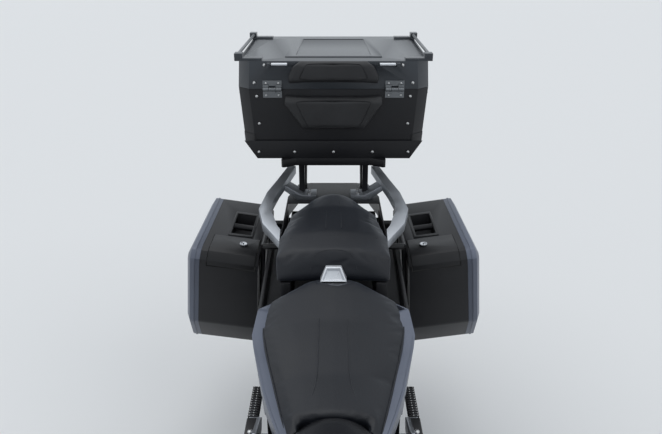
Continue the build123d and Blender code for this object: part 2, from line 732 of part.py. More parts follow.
def tail():
    """Tail cowl, lamp and the fender with its plate."""
    cowl_plan = [(150, 462), (150, 800), (118, 930)]
    plan = plan_plate(cowl_plan + [(-x, y) for x, y in reversed(cowl_plan)], 700, 1000)
    outer = plan & side_plate([(462, 832), (462, 905), (930, 905), (930, 862), (900, 840)], -200, 200)
    inner_plan = [(146, 400), (146, 797), (114, 926)]
    inner = plan_plate(inner_plan + [(-x, y) for x, y in reversed(inner_plan)], 700, 901)
    inner += block((-146, 400, 700), (146, PILLION_END_Y + 1, 1000))
    lamp = block((-92, 930, 846), (92, 950, 898))
    guard = [
        (806, 818), (880, 812), (1006, 650), (1026, 560), (1031, 561), (1011, 654), (884, 818), (806, 824),
    ]
    fender = side_plate(guard, -72, 72) + block((-72, 806, 818), (72, 812, 846))
    return {
        "tail_cowl": outer - inner,
        "tail_lamp": fillet(lamp.edges().filter_by(Axis.Y), 12),
        "rear_fender": fender,
    }


def grab_rails():
    """Cast loops beside the seat, each with a web to the tail."""
    plan = [
        (150, 458), (203, 530), (221, 600), (206, 700), (180, 800), (152, 915), (128, 905), (152, 790),
        (168, 720), (183, 640), (186, 595), (160, 520), (150, 505),
    ]
    level = [(440, 874), (560, 912), (700, 932), (920, 950), (920, 976), (700, 958), (560, 938), (440, 898)]
    rail = plan_plate(plan, 800, 1000) & side_plate(level, 100, 240)
    web = Plane.XZ * flat([(56, 905), (56, 919), (100, 919), (150, 950), (178, 950), (150, 930), (118, 905)])
    web = Pos(0, 770, 0) * extrude(web, amount=-62)
    return pair(rail + web)


def case_rack(rails):
    """Plate under the top case on two uprights and two rear struts."""
    half = 166.0
    plate = plan_plate(
        [
            (-half, 772), (-120, 800), (120, 800), (half, 772), (half, 900), (130, 1130), (-130, 1130),
            (-half, 900),
        ],
        RACK_Z, RACK_Z + RACK_THICK - 0.3, 8,
    )
    plate -= plan_plate([(-90, 850), (90, 850), (70, 1080), (-70, 1080)], RACK_Z - 1, RACK_Z + 40, 12)
    for side in (-1, 1):
        plate += block(
            (min(side * 94, side * 112), 806, 919), (max(side * 94, side * 112), 826, RACK_Z + 4)
        )
        plate += rod((side * 100, 900, 905), (side * 100, 985, RACK_Z + 6), 9)
    for rail in rails:
        plate -= rail
    return plate - block((-140, 700, 800), (140, 940, 905))


def lid_rail(side):
    """A rail along one edge of the lid on two corner brackets, above the lid's front edge."""
    x, rise = side * (TOP_CASE_HALF - 3), 14
    rail = rod((x, 20, rise), (x - side * 8, 400, rise), RAIL_R)
    for y in (8, 386):
        low, high = sorted((side * (TOP_CASE_HALF - 78), side * (TOP_CASE_HALF + 4)))
        bracket = plan_plate([(low, y), (high, y), (high, y + 30), (low, y + 30)], -1, 7)
        low, high = sorted((side * (TOP_CASE_HALF - 20), side * (TOP_CASE_HALF + 4)))
        rail += bracket + block((low, y, 0), (high, y + 30, rise + 7))
    return rail


def tie_down(side, front, top_z):
    """A short bar between two lugs on the lid's front, for a strap."""
    level = top_z - 10
    loop = rod((side * 138, front - 9, level), (side * 196, front - 9, level), 3.5)
    for x in (138, 190):
        low, high = sorted((side * x, side * (x + 10)))
        loop += block((low, front - 14, level - 6), (high, front + 4, level + 6))
    return loop


def top_case():
    """Tub and lid with bevelled corners, hinge leaves at the front and a pad on each."""
    def ring(half, front, rear, corner, level):
        points = [
            (-half, front + corner), (-half + corner, front), (half - corner, front), (half, front + corner),
            (half, rear - corner), (half - corner, rear), (corner - half, rear), (-half, rear - corner),
        ]
        return [(x, y, level) for x, y in points]

    front, rear, half, corner = TOP_CASE_FRONT_Y, TOP_CASE_REAR_Y, TOP_CASE_HALF, TOP_CASE_CORNER
    seam, floor_z, top_z = TOP_CASE_SEAM_Z, TOP_CASE_BASE_Z, TOP_CASE_TOP_Z
    wall = CASE_WALL
    step = 40.0
    tub = skin(
        [
            ring(half - 66, front + 50, rear - 50, corner, floor_z),
            ring(half - 12, front + 6, rear - 8, corner, floor_z + step),
            ring(half, front, rear, corner, seam),
        ]
    )
    hollow = skin(
        [
            ring(half - 66 - wall, front + 50 + wall, rear - 50 - wall, corner, floor_z + wall),
            ring(half - 12 - wall, front + 6 + wall, rear - 8 - wall, corner, floor_z + step),
            ring(half - wall, front + wall, rear - wall, corner, seam),
        ]
    )
    lid = skin(
        [
            ring(half, front, rear, corner, seam + SEAM),
            ring(half - 7, front + 3, rear - 6, corner, top_z + LID_RISE),
        ]
    )
    cap = side_plate(
        [(front, seam - 10), (front, top_z), (rear, top_z + LID_RISE), (rear, seam - 10)], -half, half
    )
    lid_hollow = skin(
        [
            ring(half - wall, front + wall, rear - wall, corner, seam + SEAM),
            ring(half - 7 - wall, front + 3 + wall, rear - 6 - wall, corner, top_z + LID_RISE),
        ]
    )
    lid_hollow &= Pos(0, 0, -wall) * cap
    lid = (lid & cap) - lid_hollow
    slope = degrees(atan2(LID_RISE, rear - front))
    on_top = Pos(0, front, top_z) * Rot(slope, 0, 0)
    panel = plan_plate([(-150, 60), (150, 60), (134, 400), (-134, 400)], -1, PANEL_RISE)
    panel -= plan_plate([(-118, 84), (118, 84), (106, 376), (-106, 376)], 0.5, PANEL_RISE + 1)
    lid += on_top * panel
    for side in (-1, 1):
        lid += on_top * lid_rail(side)
        lid += tie_down(side, front, top_z)
    fixed, moving = [], []
    hinge_y = front - HINGE_PROUD
    for side in (-1, 1):
        x = side * 187
        low_leaf = block((x - 29, front - 2.2, seam - 26), (x + 29, front - 0.2, seam - 6))
        high_leaf = block((x - 29, front - 2.2, seam + 6), (x + 29, front + 2, seam + 26))
        barrel = pin((x - 10, hinge_y, seam), (x + 10, hinge_y, seam), 6)
        low_leaf += barrel + block((x - 10, hinge_y, seam - 14), (x + 10, front - 0.2, seam - 3))
        moving_barrels = []
        for end in (-1, 1):
            a, b = sorted((x + end * 10.5, x + end * 28))
            knuckle = pin((a, hinge_y, seam), (b, hinge_y, seam), 6)
            knuckle += block((a, hinge_y, seam + 3), (b, front - 0.2, seam + 14))
            moving_barrels.append(knuckle)
        for knuckle in moving_barrels:
            high_leaf += knuckle
        high_leaf -= block((x - 11, front - 20, seam - 20), (x + 11, front + 0.5, seam + 10))
        fixed.append(low_leaf - tub)
        moving.append(high_leaf - lid)
    lower_pad = side_plate(
        [
            (front - 22, seam - 121), (front - 26, seam - 107), (front - 26, seam - 35),
            (front - 14, seam - 21), (front - 0.4, seam - 17), (front + 2.4, seam - 127),
        ],
        -PAD_HALF, PAD_HALF,
    )
    lower_half = [(PAD_HALF, seam - 16), (PAD_HALF, seam - 42), (88, seam - 128)]
    lower_pad &= front_plate(both_sides(lower_half), front - 30, front + 10)
    upper_pad = side_plate(
        [
            (front - 14, seam + 20), (front - 22, seam + 31), (front - 22, top_z - 6),
            (front - 12, top_z + 4), (front + 2.2, top_z + 4), (front + 0.2, seam + 20),
        ],
        -PAD_HALF, PAD_HALF,
    )
    upper_half = [(136, seam + 20), (136, seam + 42), (122, seam + 70), (100, top_z + 4)]
    upper_pad &= front_plate(both_sides(upper_half), front - 30, front + 10)
    behind = block((-half, front, seam), (half, front + 50, top_z + 50))
    return {
        "top_case_base": tub - hollow,
        "top_case_lid": lid,
        "case_hinges_fixed": fixed,
        "case_hinges_moving": moving,
        "backrest_pad_lower": lower_pad - tub,
        "backrest_pad_upper": upper_pad - (lid + behind),
    }


PANNIER = Pos(PANNIER_TOP_X, 0, PANNIER_TOP_Z) * Rot(0, -PANNIER_SPLAY, 0)


def pannier():
    """Left pannier: a shell open at the seam, a crowned lid, its lock and its handle plate."""
    outline = flat(eased(PANNIER_OUTLINE, PANNIER_CORNER))
    lean = tan(radians(PANNIER_SPLAY - PANNIER_INNER_SPLAY))
    low, high = PANNIER_HINGE_Z - 20, 20

    def slab(shrink, x_from, x_to):
        face = offset(outline, amount=-shrink, kind=Kind.INTERSECTION) if shrink else outline
        return Pos(x_from, 0, 0) * extrude(Plane.YZ * face, amount=x_to - x_from)

    def wedge(shrink, x_to):
        inner = [(low * lean + shrink, low), (high * lean + shrink, high)]
        return slab(shrink, low * lean, x_to) & front_plate([*inner, (x_to, high), (x_to, low)], 500, 1100)

    wall = PANNIER_WALL
    shell = wedge(0, PANNIER_SHELL) - wedge(wall, PANNIER_SHELL + 1)
    well = block((38, 700, -40), (104, 860, 1))
    handle_well = block((35, 697, -43), (107, 863, -1))
    shell += handle_well - well
    shell -= well
    shell += rod((37, 780, -11), (105, 780, -11), 10)
    start = PANNIER_SHELL + SEAM
    rim_end = PANNIER_SHELL + PANNIER_LID_RIM
    dish = extrude(Plane(origin=(rim_end, 0, 0), z_dir=(1, 0, 0), x_dir=(0, 1, 0)) * outline,
                   amount=PANNIER_LID_CROWN, taper=PANNIER_LID_SLOPE)
    inner_dish = dish & slab(wall, rim_end, rim_end + PANNIER_LID_CROWN)
    inner_dish = Pos(-wall, 0, 0) * inner_dish
    lid = slab(0, start, rim_end) + dish
    lid += slab(-LID_RIB, rim_end - 14, rim_end - 8) - slab(wall, start, rim_end)
    lid -= slab(wall, start - 1, rim_end - wall)
    lid -= inner_dish
    lock = slab(-LOCK_PLATE, 8, 150) & block((8, 545, -40), (150, 672, LOCK_PLATE + 1))
    lock += rod((53, 620, 1), (53, 620, LOCK_PLATE + 4), 10)
    lock -= slab(0, -1, PANNIER_SHELL)
    pin_x = PANNIER_SHELL + SEAM / 2
    pin_z, pin_r = PANNIER_HINGE_Z, PANNIER_HINGE_R
    for y_from, y_to in PANNIER_KNUCKLES:
        shell += pin((pin_x, y_from, pin_z), (pin_x, y_to, pin_z), pin_r)
        shell += block((pin_x - 9, y_from, pin_z), (PANNIER_SHELL, y_to, pin_z + 8))
    y_from, y_to = PANNIER_KNUCKLES[0][1] + SEAM, PANNIER_KNUCKLES[1][0] - SEAM
    lid += pin((pin_x, y_from, pin_z), (pin_x, y_to, pin_z), pin_r)
    lid += block((start, y_from, pin_z), (pin_x + 9, y_to, pin_z + 8))
    return {"shell": PANNIER * shell, "lid": PANNIER * lid, "lock": PANNIER * lock}


def pannier_carrier():
    """Left tube loop that holds the pannier, on bosses from the subframe."""
    r = 8.0

    def lean(z):
        return PANNIER_TOP_X + (PANNIER_TOP_Z - z) * tan(radians(PANNIER_INNER_SPLAY)) - r - 0.6

    high, low = 818.0, 520.0
    route = [(604, high), (645, low), (900, low), (880, high)]
    loop = bent_rod([(lean(z), y, z) for y, z in route], 40, r)
    loop += rod((lean(high), 604, high), (lean(high), 880, high), r)
    for y in (604, 780):
        loop += rod((SUBFRAME_OUT, y, high), (lean(high), y, high), 9)
    return loop


FAIRING_LEVELS = [
    # height, half width, nose Y, Y of the widest place, half width at the back
    (230, 214, -880, -520, 220),
    (520, 272, -1020, -600, 232),
    (800, 268, -1072, -640, 225),
    (960, 205, -1000, -640, 195),
    (1250, 128, -800, -620, 120),
]


def fairing_form(shrink):
    """The bodywork's outer form, or the form inside its wall."""
    rings = []
    for level, half, nose, wide, back in FAIRING_LEVELS:
        half, nose, back = half - shrink, nose + shrink, back - shrink
        turns = [pi * index / NOSE_FACETS for index in range(NOSE_FACETS + 1)]
        bow = [(-half * cos(turn), wide - (wide - nose) * sin(turn)) for turn in turns]
        outline = [*bow, (back, FAIRING_BACK_Y), (-back, FAIRING_BACK_Y)]
        rings.append([(x, y, level) for x, y in outline])
    return skin(rings)


def fairing():
    """Nose, side panels, headlamp and screen, cut from one form where the real panels meet."""
    skin = fairing_form(0) - fairing_form(FAIRING_WALL)
    side_cut = side_plate(
        [(-840, 700), (-930, 800), (-860, 905), (-700, 1010), (-560, 880), (-470, 850), (-300, 760),
         (-165, 640), (-160, 520), (-200, 340), (-330, 262), (-520, 262), (-600, 330), (-640, 480),
         (-700, 600)],
        -400, 400, 12,
    )
    nose_cut = side_plate(
        [(-841, 700), (-931, 800), (-861, 905.5), (-701, 1010.5), (-780, 1016), (-985, 930), (-1100, 900),
         (-1100, 700)],
        -400, 400,
    )
    screen_cut = side_plate(
        [(-1100, 901), (-985, 931), (-780, 1017), (-700, 1034), (-700, 1100), (-735, 1210), (-1100, 1240)],
        -400, 400,
    )
    lamp_outline = both_sides([(0, 742), (150, 760), (185, 840), (120, 868), (0, 850)])
    lamp_cut = Pos(0, -1200, 0) * extrude(Plane.XZ * flat(lamp_outline, 14), amount=-400)
    sides = skin & side_cut
    nose = (skin & nose_cut) - side_cut
    lamp = nose & lamp_cut
    nose -= lamp_cut
    screen = skin & screen_cut
    return sides, nose, lamp, screen


def cockpit(frame):
    """Dash behind the screen, on a stay from the head tube."""
    dash = side_plate([(-800, 985), (-790, 1020), (-716, 1052), (-700, 1040), (-715, 985)], -120, 120)
    dash = fillet(dash.edges().filter_by(Axis.X), 8)
    inside = fairing_form(FAIRING_WALL + SEAM / 2)
    stay = STEER * block((-14, -172, 970), (14, -HEAD_TUBE_R + 1, 1000))
    stay += block((-60, -795, 955), (60, -735, 985))
    stay += rod((-240, -765, 968), (240, -765, 968), 9) & inside
    return dash, stay - frame


def mirrors():
    """Mirror heads on arms from the fairing's sides, with outlines in side view and front view."""
    arm = rod((150, -780, 952), (330, -752, 1050), 9) - fairing_form(0)
    depth = [
        (-778, 1030), (-778, 1078), (-764, 1106), (-736, 1106), (-728, 1060), (-732, 1002), (-760, 1002),
    ]
    outline = [
        (300, 1032), (322, 1008), (436, 1004), (458, 1026), (462, 1062), (440, 1098), (330, 1100),
        (302, 1074),
    ]
    head = side_plate(depth, 290, 470) & front_plate(eased(outline, 14), -790, -720)
    return pair(arm + head)


def footrests():
    """Rider's rests with their hangers and pedals, and the passenger's rests folded back."""
    rider = side_plate([(70, 470), (112, 470), (82, 372), (60, 340), (14, 340), (4, 372), (30, 430)],
                       PLATE_OUT, PLATE_OUT + 10, 8)
    rider += rod((PLATE_OUT + 5, 58, 394), (PLATE_OUT + 26, 58, 394), 13)
    rider += block((PLATE_OUT + 20, 45, 386), (PLATE_OUT + 98, 71, 402))
    pedal = rod((PLATE_OUT + 24, 32, 360), (PLATE_OUT + 24, -126, 330), 6)
    pedal += rod((PLATE_OUT + 17, -128, 330), (PLATE_OUT + 58, -128, 330), 9)
    rider += pedal + rod((PLATE_OUT + 4, 28, 360), (PLATE_OUT + 31, 28, 360), 10)
    hanger = side_plate([(84, 560), (118, 520), (120, 478), (200, 478), (214, 505), (196, 520)],
                        PLATE_OUT, PLATE_OUT + 10, 6)
    rest = rod((PLATE_OUT + 6, 204, 502), (PLATE_OUT + 34, 204, 502), 10)
    rest += block((PLATE_OUT + 20, 200, 489), (PLATE_OUT + 52, 330, 511))
    return pair(rider), pair(hanger + rest)


def centre_stand():
    """Two splayed legs from a pivot tube, feet on the floor and a foot lever on the left."""
    y, z = STAND_PIVOT_Y, STAND_PIVOT_Z
    part = rod((-PLATE_IN + 1, y, z), (PLATE_IN - 1, y, z), 18)
    for side in (-1, 1):
        part += rod((side * 126, y, z), (side * STAND_FOOT_X, STAND_FOOT_Y, 4), STAND_TUBE_R)
        part += pin((side * (PLATE_IN - 4), y, z), (side * (PLATE_OUT + 4), y, z), STAND_PIN_R)
        low, high = sorted((side * (STAND_FOOT_X - 32), side * (STAND_FOOT_X + 34)))
        foot = block((low, STAND_FOOT_Y - 30, 0), (high, STAND_FOOT_Y + 30, 9))
        part += fillet(foot.edges().filter_by(Axis.Z), 12)
    lever = rod((STAND_FOOT_X, STAND_FOOT_Y, 40), (STAND_FOOT_X + 58, STAND_FOOT_Y + 70, 62), 9)
    treadle_y = STAND_FOOT_Y + 70
    part += lever + rod((STAND_FOOT_X + 40, treadle_y, 62), (STAND_FOOT_X + 90, treadle_y, 62), 10)
    return part - block((-300, 0, -60), (300, 200, 0))


def side_stand_axis():
    """The side stand's hinge, square to the leg both folded and down."""
    return Vector(*SIDE_STAND_FOLDED).cross(Vector(*SIDE_STAND_DOWN)).normalized()


def side_stand():
    """A leg folded along the left side, on a pin through the lug under the engine."""
    at, axis = Vector(*SIDE_STAND_AT), side_stand_axis()
    folded = Vector(*SIDE_STAND_FOLDED).normalized()
    down = Vector(*SIDE_STAND_DOWN).normalized()
    tip = at + folded * SIDE_STAND_LENGTH
    leg = rod(tuple(at), tuple(tip), 11)
    leg += rod(tuple(at - axis * SIDE_STAND_EYE / 2), tuple(at + axis * SIDE_STAND_EYE / 2), 20)
    leg += pin(tuple(at), tuple(at + axis * 46), STAND_PIN_R)
    return leg + Plane(origin=tip, z_dir=down, x_dir=folded) * Box(60, 44, 8)


def motorcycle():
    """Every piece at rest, by name."""
    pieces = {}
    pieces.update(front_wheel())
    pieces.update(rear_wheel())
    pieces.update(axles())
    pieces.update(steering())
    frame = main_frame()
    pieces["main_frame"] = frame
    pieces["subframe"] = subframe()
    motor = engine()
    pieces["radiator"] = radiator() - motor
    pieces["exhaust"] = exhaust(motor)
    pieces.update(swingarm())
    pieces["rear_shock"] = rear_shock(pieces["swingarm"], pieces["subframe"])
    pieces.update(seats_and_tank(frame))
    pieces["side_covers"] = side_covers()
    pieces.update(tail())
    rails = grab_rails()
    pieces["grab_rails"] = rails
    pieces["case_rack"] = case_rack(rails)
    pieces.update(top_case())
    left = pannier()
    for part, solid in left.items():
        node = f"pannier_{part}"
        pieces[node + "_left"] = solid
        pieces[node + "_right"] = mirror(solid, Plane.YZ)
    pieces["pannier_carriers"] = pair(pannier_carrier())
    sides, nose, lamp, screen = fairing()
    pieces["side_fairings"] = sides
    pieces["nose_fairing"] = nose
    pieces["headlamp"] = lamp
    pieces["windscreen"] = screen
    dash, stay = cockpit(frame)
    pieces["dash"] = dash
    pieces["fairing_stay"] = stay
    pieces["mirrors"] = mirrors()
    riders, passengers = footrests()
    pieces["rider_footrests"] = riders
    pieces["passenger_footrests"] = passengers
    pieces["centre_stand"] = centre_stand()
    pieces["side_stand"] = side_stand()
    pieces["engine"] = motor
    return pieces


os.makedirs("parts", exist_ok=True)
for name, shape in motorcycle().items():
    parts = shape if isinstance(shape, list) else [shape]
    solids = [solid for item in parts for solid in item.solids()]
    export_step(Compound(children=solids), f"parts/{name}.step")
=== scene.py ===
import json
import math

import bmesh
import bpy
from mathutils import Matrix, Vector

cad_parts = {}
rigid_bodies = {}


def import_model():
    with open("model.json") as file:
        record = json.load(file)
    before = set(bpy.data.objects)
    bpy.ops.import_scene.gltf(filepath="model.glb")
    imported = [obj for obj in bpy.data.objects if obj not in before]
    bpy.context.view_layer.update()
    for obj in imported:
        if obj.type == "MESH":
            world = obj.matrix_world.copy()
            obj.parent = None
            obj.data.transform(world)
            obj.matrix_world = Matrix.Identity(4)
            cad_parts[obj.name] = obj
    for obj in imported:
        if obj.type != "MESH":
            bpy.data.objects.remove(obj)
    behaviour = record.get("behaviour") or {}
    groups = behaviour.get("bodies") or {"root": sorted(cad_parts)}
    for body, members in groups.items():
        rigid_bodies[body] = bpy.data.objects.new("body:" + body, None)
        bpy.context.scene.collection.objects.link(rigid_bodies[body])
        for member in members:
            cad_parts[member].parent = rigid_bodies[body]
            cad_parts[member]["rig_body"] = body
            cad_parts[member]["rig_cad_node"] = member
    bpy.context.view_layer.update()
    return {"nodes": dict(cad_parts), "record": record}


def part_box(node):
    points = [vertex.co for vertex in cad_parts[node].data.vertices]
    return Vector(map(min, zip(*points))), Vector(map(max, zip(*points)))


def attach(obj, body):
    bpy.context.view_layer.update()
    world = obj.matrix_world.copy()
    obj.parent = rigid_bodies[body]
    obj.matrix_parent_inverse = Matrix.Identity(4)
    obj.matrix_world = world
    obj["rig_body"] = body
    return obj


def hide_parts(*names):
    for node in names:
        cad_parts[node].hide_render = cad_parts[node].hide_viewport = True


# Sport touring motorcycle: finishes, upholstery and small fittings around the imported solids.
# Metres, in the frame's own axes: X to the rider's left, Y to the rear, Z up.

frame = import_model()
nodes = frame["nodes"]
slot_of = {part["node"]: part["material_slot"] for part in frame["record"]["subparts"]}
body_of = {node: nodes[node]["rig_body"] for node in slot_of}

# Directions
UP = Vector((0, 0, 1))
DOWN = Vector((0, 0, -1))
LEFT = Vector((1, 0, 0))
RIGHT = Vector((-1, 0, 0))
BACK = Vector((0, 1, 0))
AHEAD = Vector((0, -1, 0))
SIDES = (-1, 1)

# Ways of working. Angles are in degrees where they aren't turned into radians here, and a rim,
# well, pocket, hollow or step is the width and depth by which faces are drawn in.
MERGE_GAP = 0.00002
FLAT_TURN = math.radians(0.4)
EDGE_ANGLE = 35
SOLID_ANGLE = 28
FACING = 0.9
NEARLY_PARALLEL = 0.1
HALF_STEP = 0.5
LINE_STEPS = 6
SMOOTHING = 0.5


def clear_selection():
    """Nothing selected, so that the next operator acts on its own piece only."""
    bpy.ops.object.select_all(action="DESELECT")


def choose(piece):
    """Only this piece selected and active."""
    clear_selection()
    piece.select_set(True)
    bpy.context.view_layer.objects.active = piece


def settle(piece):
    """Puts the piece's place into its mesh, with its object at the origin."""
    choose(piece)
    bpy.ops.object.transform_apply(location=True, rotation=True, scale=True)
    return piece


def twin_of(piece, name):
    """A copy with its own mesh."""
    twin = piece.copy()
    twin.data = piece.data.copy()
    twin.name = name
    bpy.context.scene.collection.objects.link(twin)
    return twin


def copy_of_node(node, name):
    """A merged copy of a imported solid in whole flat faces, to shape further."""
    piece = twin_of(nodes[node], name)
    piece.parent = None
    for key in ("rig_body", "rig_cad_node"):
        del piece[key]
    choose(piece)
    bpy.ops.object.mode_set(mode="EDIT")
    bpy.ops.mesh.select_all(action="SELECT")
    bpy.ops.mesh.remove_doubles(threshold=MERGE_GAP)
    bpy.ops.mesh.dissolve_limited(angle_limit=FLAT_TURN)
    bpy.ops.object.mode_set(mode="OBJECT")
    return piece


def add_box(name, low, high):
    """A box between two corners, ready to be shaped."""
    clear_selection()
    middle = [(a + b) / 2 for a, b in zip(low, high)]
    bpy.ops.mesh.primitive_cube_add(size=1, location=middle)
    piece = bpy.context.active_object
    piece.name = name
    piece.scale = [b - a for a, b in zip(low, high)]
    return settle(piece)


def add_round(name, radius, depth, sides):
    """A short cylinder standing on the origin, ready to be shaped."""
    clear_selection()
    bpy.ops.mesh.primitive_cylinder_add(
        vertices=sides, radius=radius, depth=depth, location=(0, 0, depth / 2)
    )
    piece = bpy.context.active_object
    piece.name = name
    return settle(piece)


def facing_up(centre, normal):
    """Picks the faces on top."""
    return normal.z > FACING


def pick_faces(piece, wanted):
    """Edit mode with only the faces selected that a test picks by centre and normal."""
    choose(piece)
    bpy.ops.object.mode_set(mode="EDIT")
    bpy.ops.mesh.select_mode(type="FACE")
    bpy.ops.mesh.select_all(action="DESELECT")
    shape = bmesh.from_edit_mesh(piece.data)
    for face in shape.faces:
        face.select = wanted(face.calc_center_median(), face.normal)
    shape.select_flush_mode()
    bmesh.update_edit_mesh(piece.data)


def set_in(piece, wanted, *steps):
    """Faces that a test picks, drawn in by each (width, depth) step in turn."""
    pick_faces(piece, wanted)
    for width, depth in steps:
        bpy.ops.mesh.inset(thickness=width, depth=depth)
    bpy.ops.object.mode_set(mode="OBJECT")
    return piece


def modified(piece, kind, **values):
    """The piece with one modifier applied."""
    choose(piece)
    modifier = piece.modifiers.new(kind.title(), kind)
    for key, value in values.items():
        setattr(modifier, key, value)
    bpy.ops.object.modifier_apply(modifier=modifier.name)
    return piece


def cut(piece, cutter, operation="DIFFERENCE"):
    """The piece cut by another, which then goes."""
    modified(piece, "BOOLEAN", operation=operation, object=cutter, solver="EXACT")
    bpy.data.objects.remove(cutter)
    return piece


def smooth(piece, angle=EDGE_ANGLE):
    """Shaded smooth, apart from edges sharper than the angle in degrees."""
    choose(piece)
    bpy.ops.object.shade_smooth_by_angle(angle=math.radians(angle))
    return piece


def smooth_all(piece):
    """Shaded smooth all over."""
    choose(piece)
    bpy.ops.object.shade_smooth()
    return piece


def bevelled(piece, width, segments=2):
    """Edges rounded."""
    return modified(piece, "BEVEL", width=width, segments=segments, limit_method="ANGLE")


def softened(piece, width, segments=2):
    """Edges rounded and shaded smooth."""
    bevelled(piece, width, segments)
    return smooth(piece)


def joined(name, pieces):
    """Several pieces as one."""
    clear_selection()
    for piece in pieces:
        piece.select_set(True)
    bpy.context.view_layer.objects.active = pieces[0]
    if len(pieces) > 1:
        bpy.ops.object.join()
    piece = bpy.context.active_object
    piece.name = name
    return piece


def tube(name, points, radius, closed=False, sides=4):
    """A round line through points, as a mesh."""
    line = bpy.data.curves.new(name, "CURVE")
    line.dimensions = "3D"
    line.bevel_depth = radius
    line.bevel_resolution = sides
    line.resolution_u = LINE_STEPS
    line.use_fill_caps = True
    spline = line.splines.new("NURBS")
    spline.points.add(len(points) - 1)
    for knot, point in zip(spline.points, points):
        knot.co = (*point, 1)
    spline.order_u = 3
    spline.use_endpoint_u = not closed
    spline.use_cyclic_u = closed
    piece = bpy.data.objects.new(name, line)
    bpy.context.scene.collection.objects.link(piece)
    choose(piece)
    bpy.ops.object.convert(target="MESH")
    bpy.ops.object.shade_smooth()
    return bpy.context.active_object


def flipped(piece):
    """The piece turned into its mirror image across the middle plane."""
    piece.data.transform(Matrix.Scale(-1, 4, LEFT))
    piece.data.flip_normals()
    return piece


def surface_point(piece, start, way):
    """Where a line first meets a piece, and the surface's normal there."""
    bpy.context.view_layer.update()
    hit, place, normal, _ = piece.ray_cast(Vector(start), Vector(way))
    if not hit:
        raise ValueError(f"{piece.name} isn't met from {tuple(start)} along {tuple(way)}")
    return place, normal


def laid_on(piece, points, way, lift=0.0):
    """Points moved along a direction until they meet the piece, then lifted off it."""
    found = [surface_point(piece, point, way) for point in points]
    return [place + normal * lift for place, normal in found]


def drawn_to(piece, points, lift):
    """Points moved to the nearest place on the piece, then lifted off it."""
    bpy.context.view_layer.update()
    found = [piece.closest_point_on_mesh(Vector(point)) for point in points]
    return [place + normal * lift for _, place, normal, _ in found]


def standing(place, normal):
    """The frame with its Z along a normal and its Y towards the rear as far as it can be."""
    along = normal.normalized()
    across = BACK.cross(along)
    across = LEFT.copy() if across.length < NEARLY_PARALLEL else across.normalized()
    turn = Matrix((across, along.cross(across), along)).transposed()
    return Matrix.Translation(place) @ turn.to_4x4()


def around(radius, count, shift=0.0):
    """Offsets in a ring across the X axis, the first one turned by a share of their spacing."""
    turns = [2 * math.pi * (index + shift) / count for index in range(count)]
    return [Vector((0, radius * math.cos(turn), radius * math.sin(turn))) for turn in turns]


def spread(name, model, places):
    """Copies of a model at (point, normal) places, as one piece. The model itself goes."""
    copies = []
    for place, normal in places:
        twin = twin_of(model, name)
        twin.data.transform(standing(place, normal))
        copies.append(twin)
    bpy.data.objects.remove(model)
    return joined(name, copies)


def finish_piece(piece, body, slot, finish=None):
    """Finish, body and slot of a new piece."""
    piece.data.materials.clear()
    piece.data.materials.append(finish or FINISHES[slot])
    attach(piece, body)
    return piece


def finish_pair(piece, slot, finish=None):
    """A left piece of the chassis and its mirror image, both finished."""
    twin = flipped(twin_of(piece, piece.name.replace("left", "right")))
    finish_piece(twin, "chassis", slot, finish)
    finish_piece(piece, "chassis", slot, finish)


# Finishes

# Noise lies mostly between these two values
NOISE_LOW = 0.3
NOISE_HIGH = 0.7


def set_inputs(node, values):
    """Values typed into a node's sockets."""
    for socket, value in values.items():
        node.inputs[socket].default_value = value


def new_material(name, color, roughness, metallic=0.0):
    """A node material with its main shader set, and the tools to add to it."""
    material = bpy.data.materials.new(name)
    material.use_nodes = True
    tree = material.node_tree
    shader = tree.nodes["Principled BSDF"]
    set_inputs(shader, {"Base Color": (*color, 1), "Roughness": roughness, "Metallic": metallic})
    return material, tree, shader


def object_noise(tree, scale, detail=3.0, stretch=(1, 1, 1)):
    """Noise fixed to the object, stretched along its axes."""
    place = tree.nodes.new("ShaderNodeTexCoord")
    mapping = tree.nodes.new("ShaderNodeMapping")
    noise = tree.nodes.new("ShaderNodeTexNoise")
    set_inputs(mapping, {"Scale": stretch})
    set_inputs(noise, {"Scale": scale, "Detail": detail})
    tree.links.new(place.outputs["Object"], mapping.inputs["Vector"])
    tree.links.new(mapping.outputs["Vector"], noise.inputs["Vector"])
    return noise.outputs["Fac"]


def shade_of(color, factor, lift=0.0):
    """A darker or lighter shade of a colour."""
    return [part * factor + lift for part in color]


def drifting_color(tree, shader, source, low, high):
    """Base colour that drifts between two shades."""
    node = tree.nodes.new("ShaderNodeValToRGB")
    for element, position, color in zip(
        node.color_ramp.elements, (NOISE_LOW, NOISE_HIGH), (low, high)
    ):
        element.position = position
        element.color = (*color, 1)
    tree.links.new(source, node.inputs["Fac"])
    tree.links.new(node.outputs["Color"], shader.inputs["Base Color"])


def drifting_roughness(tree, shader, source, low, high):
    """Roughness that drifts between two levels."""
    node = tree.nodes.new("ShaderNodeMapRange")
    set_inputs(node, {"From Min": NOISE_LOW, "From Max": NOISE_HIGH, "To Min": low, "To Max": high})
    tree.links.new(source, node.inputs["Value"])
    tree.links.new(node.outputs["Result"], shader.inputs["Roughness"])


def bumped(tree, shader, height, strength, distance):
    """Surface relief from a height."""
    node = tree.nodes.new("ShaderNodeBump")
    set_inputs(node, {"Strength": strength, "Distance": distance})
    tree.links.new(height, node.inputs["Height"])
    tree.links.new(node.outputs["Normal"], shader.inputs["Normal"])


def metallic_paint(name, color):
    """Metallic paint: flakes, light haze and a clear coat."""
    material, tree, shader = new_material(name, color, roughness=0.42, metallic=0.35)
    haze = object_noise(tree, scale=4.0)
    flakes = object_noise(tree, scale=2600.0, detail=0.0)
    drifting_color(tree, shader, haze, shade_of(color, 0.88), shade_of(color, 1.1))
    drifting_roughness(tree, shader, flakes, low=0.4, high=0.52)
    set_inputs(shader, {"Coat Weight": 0.18, "Coat Roughness": 0.25})
    return material


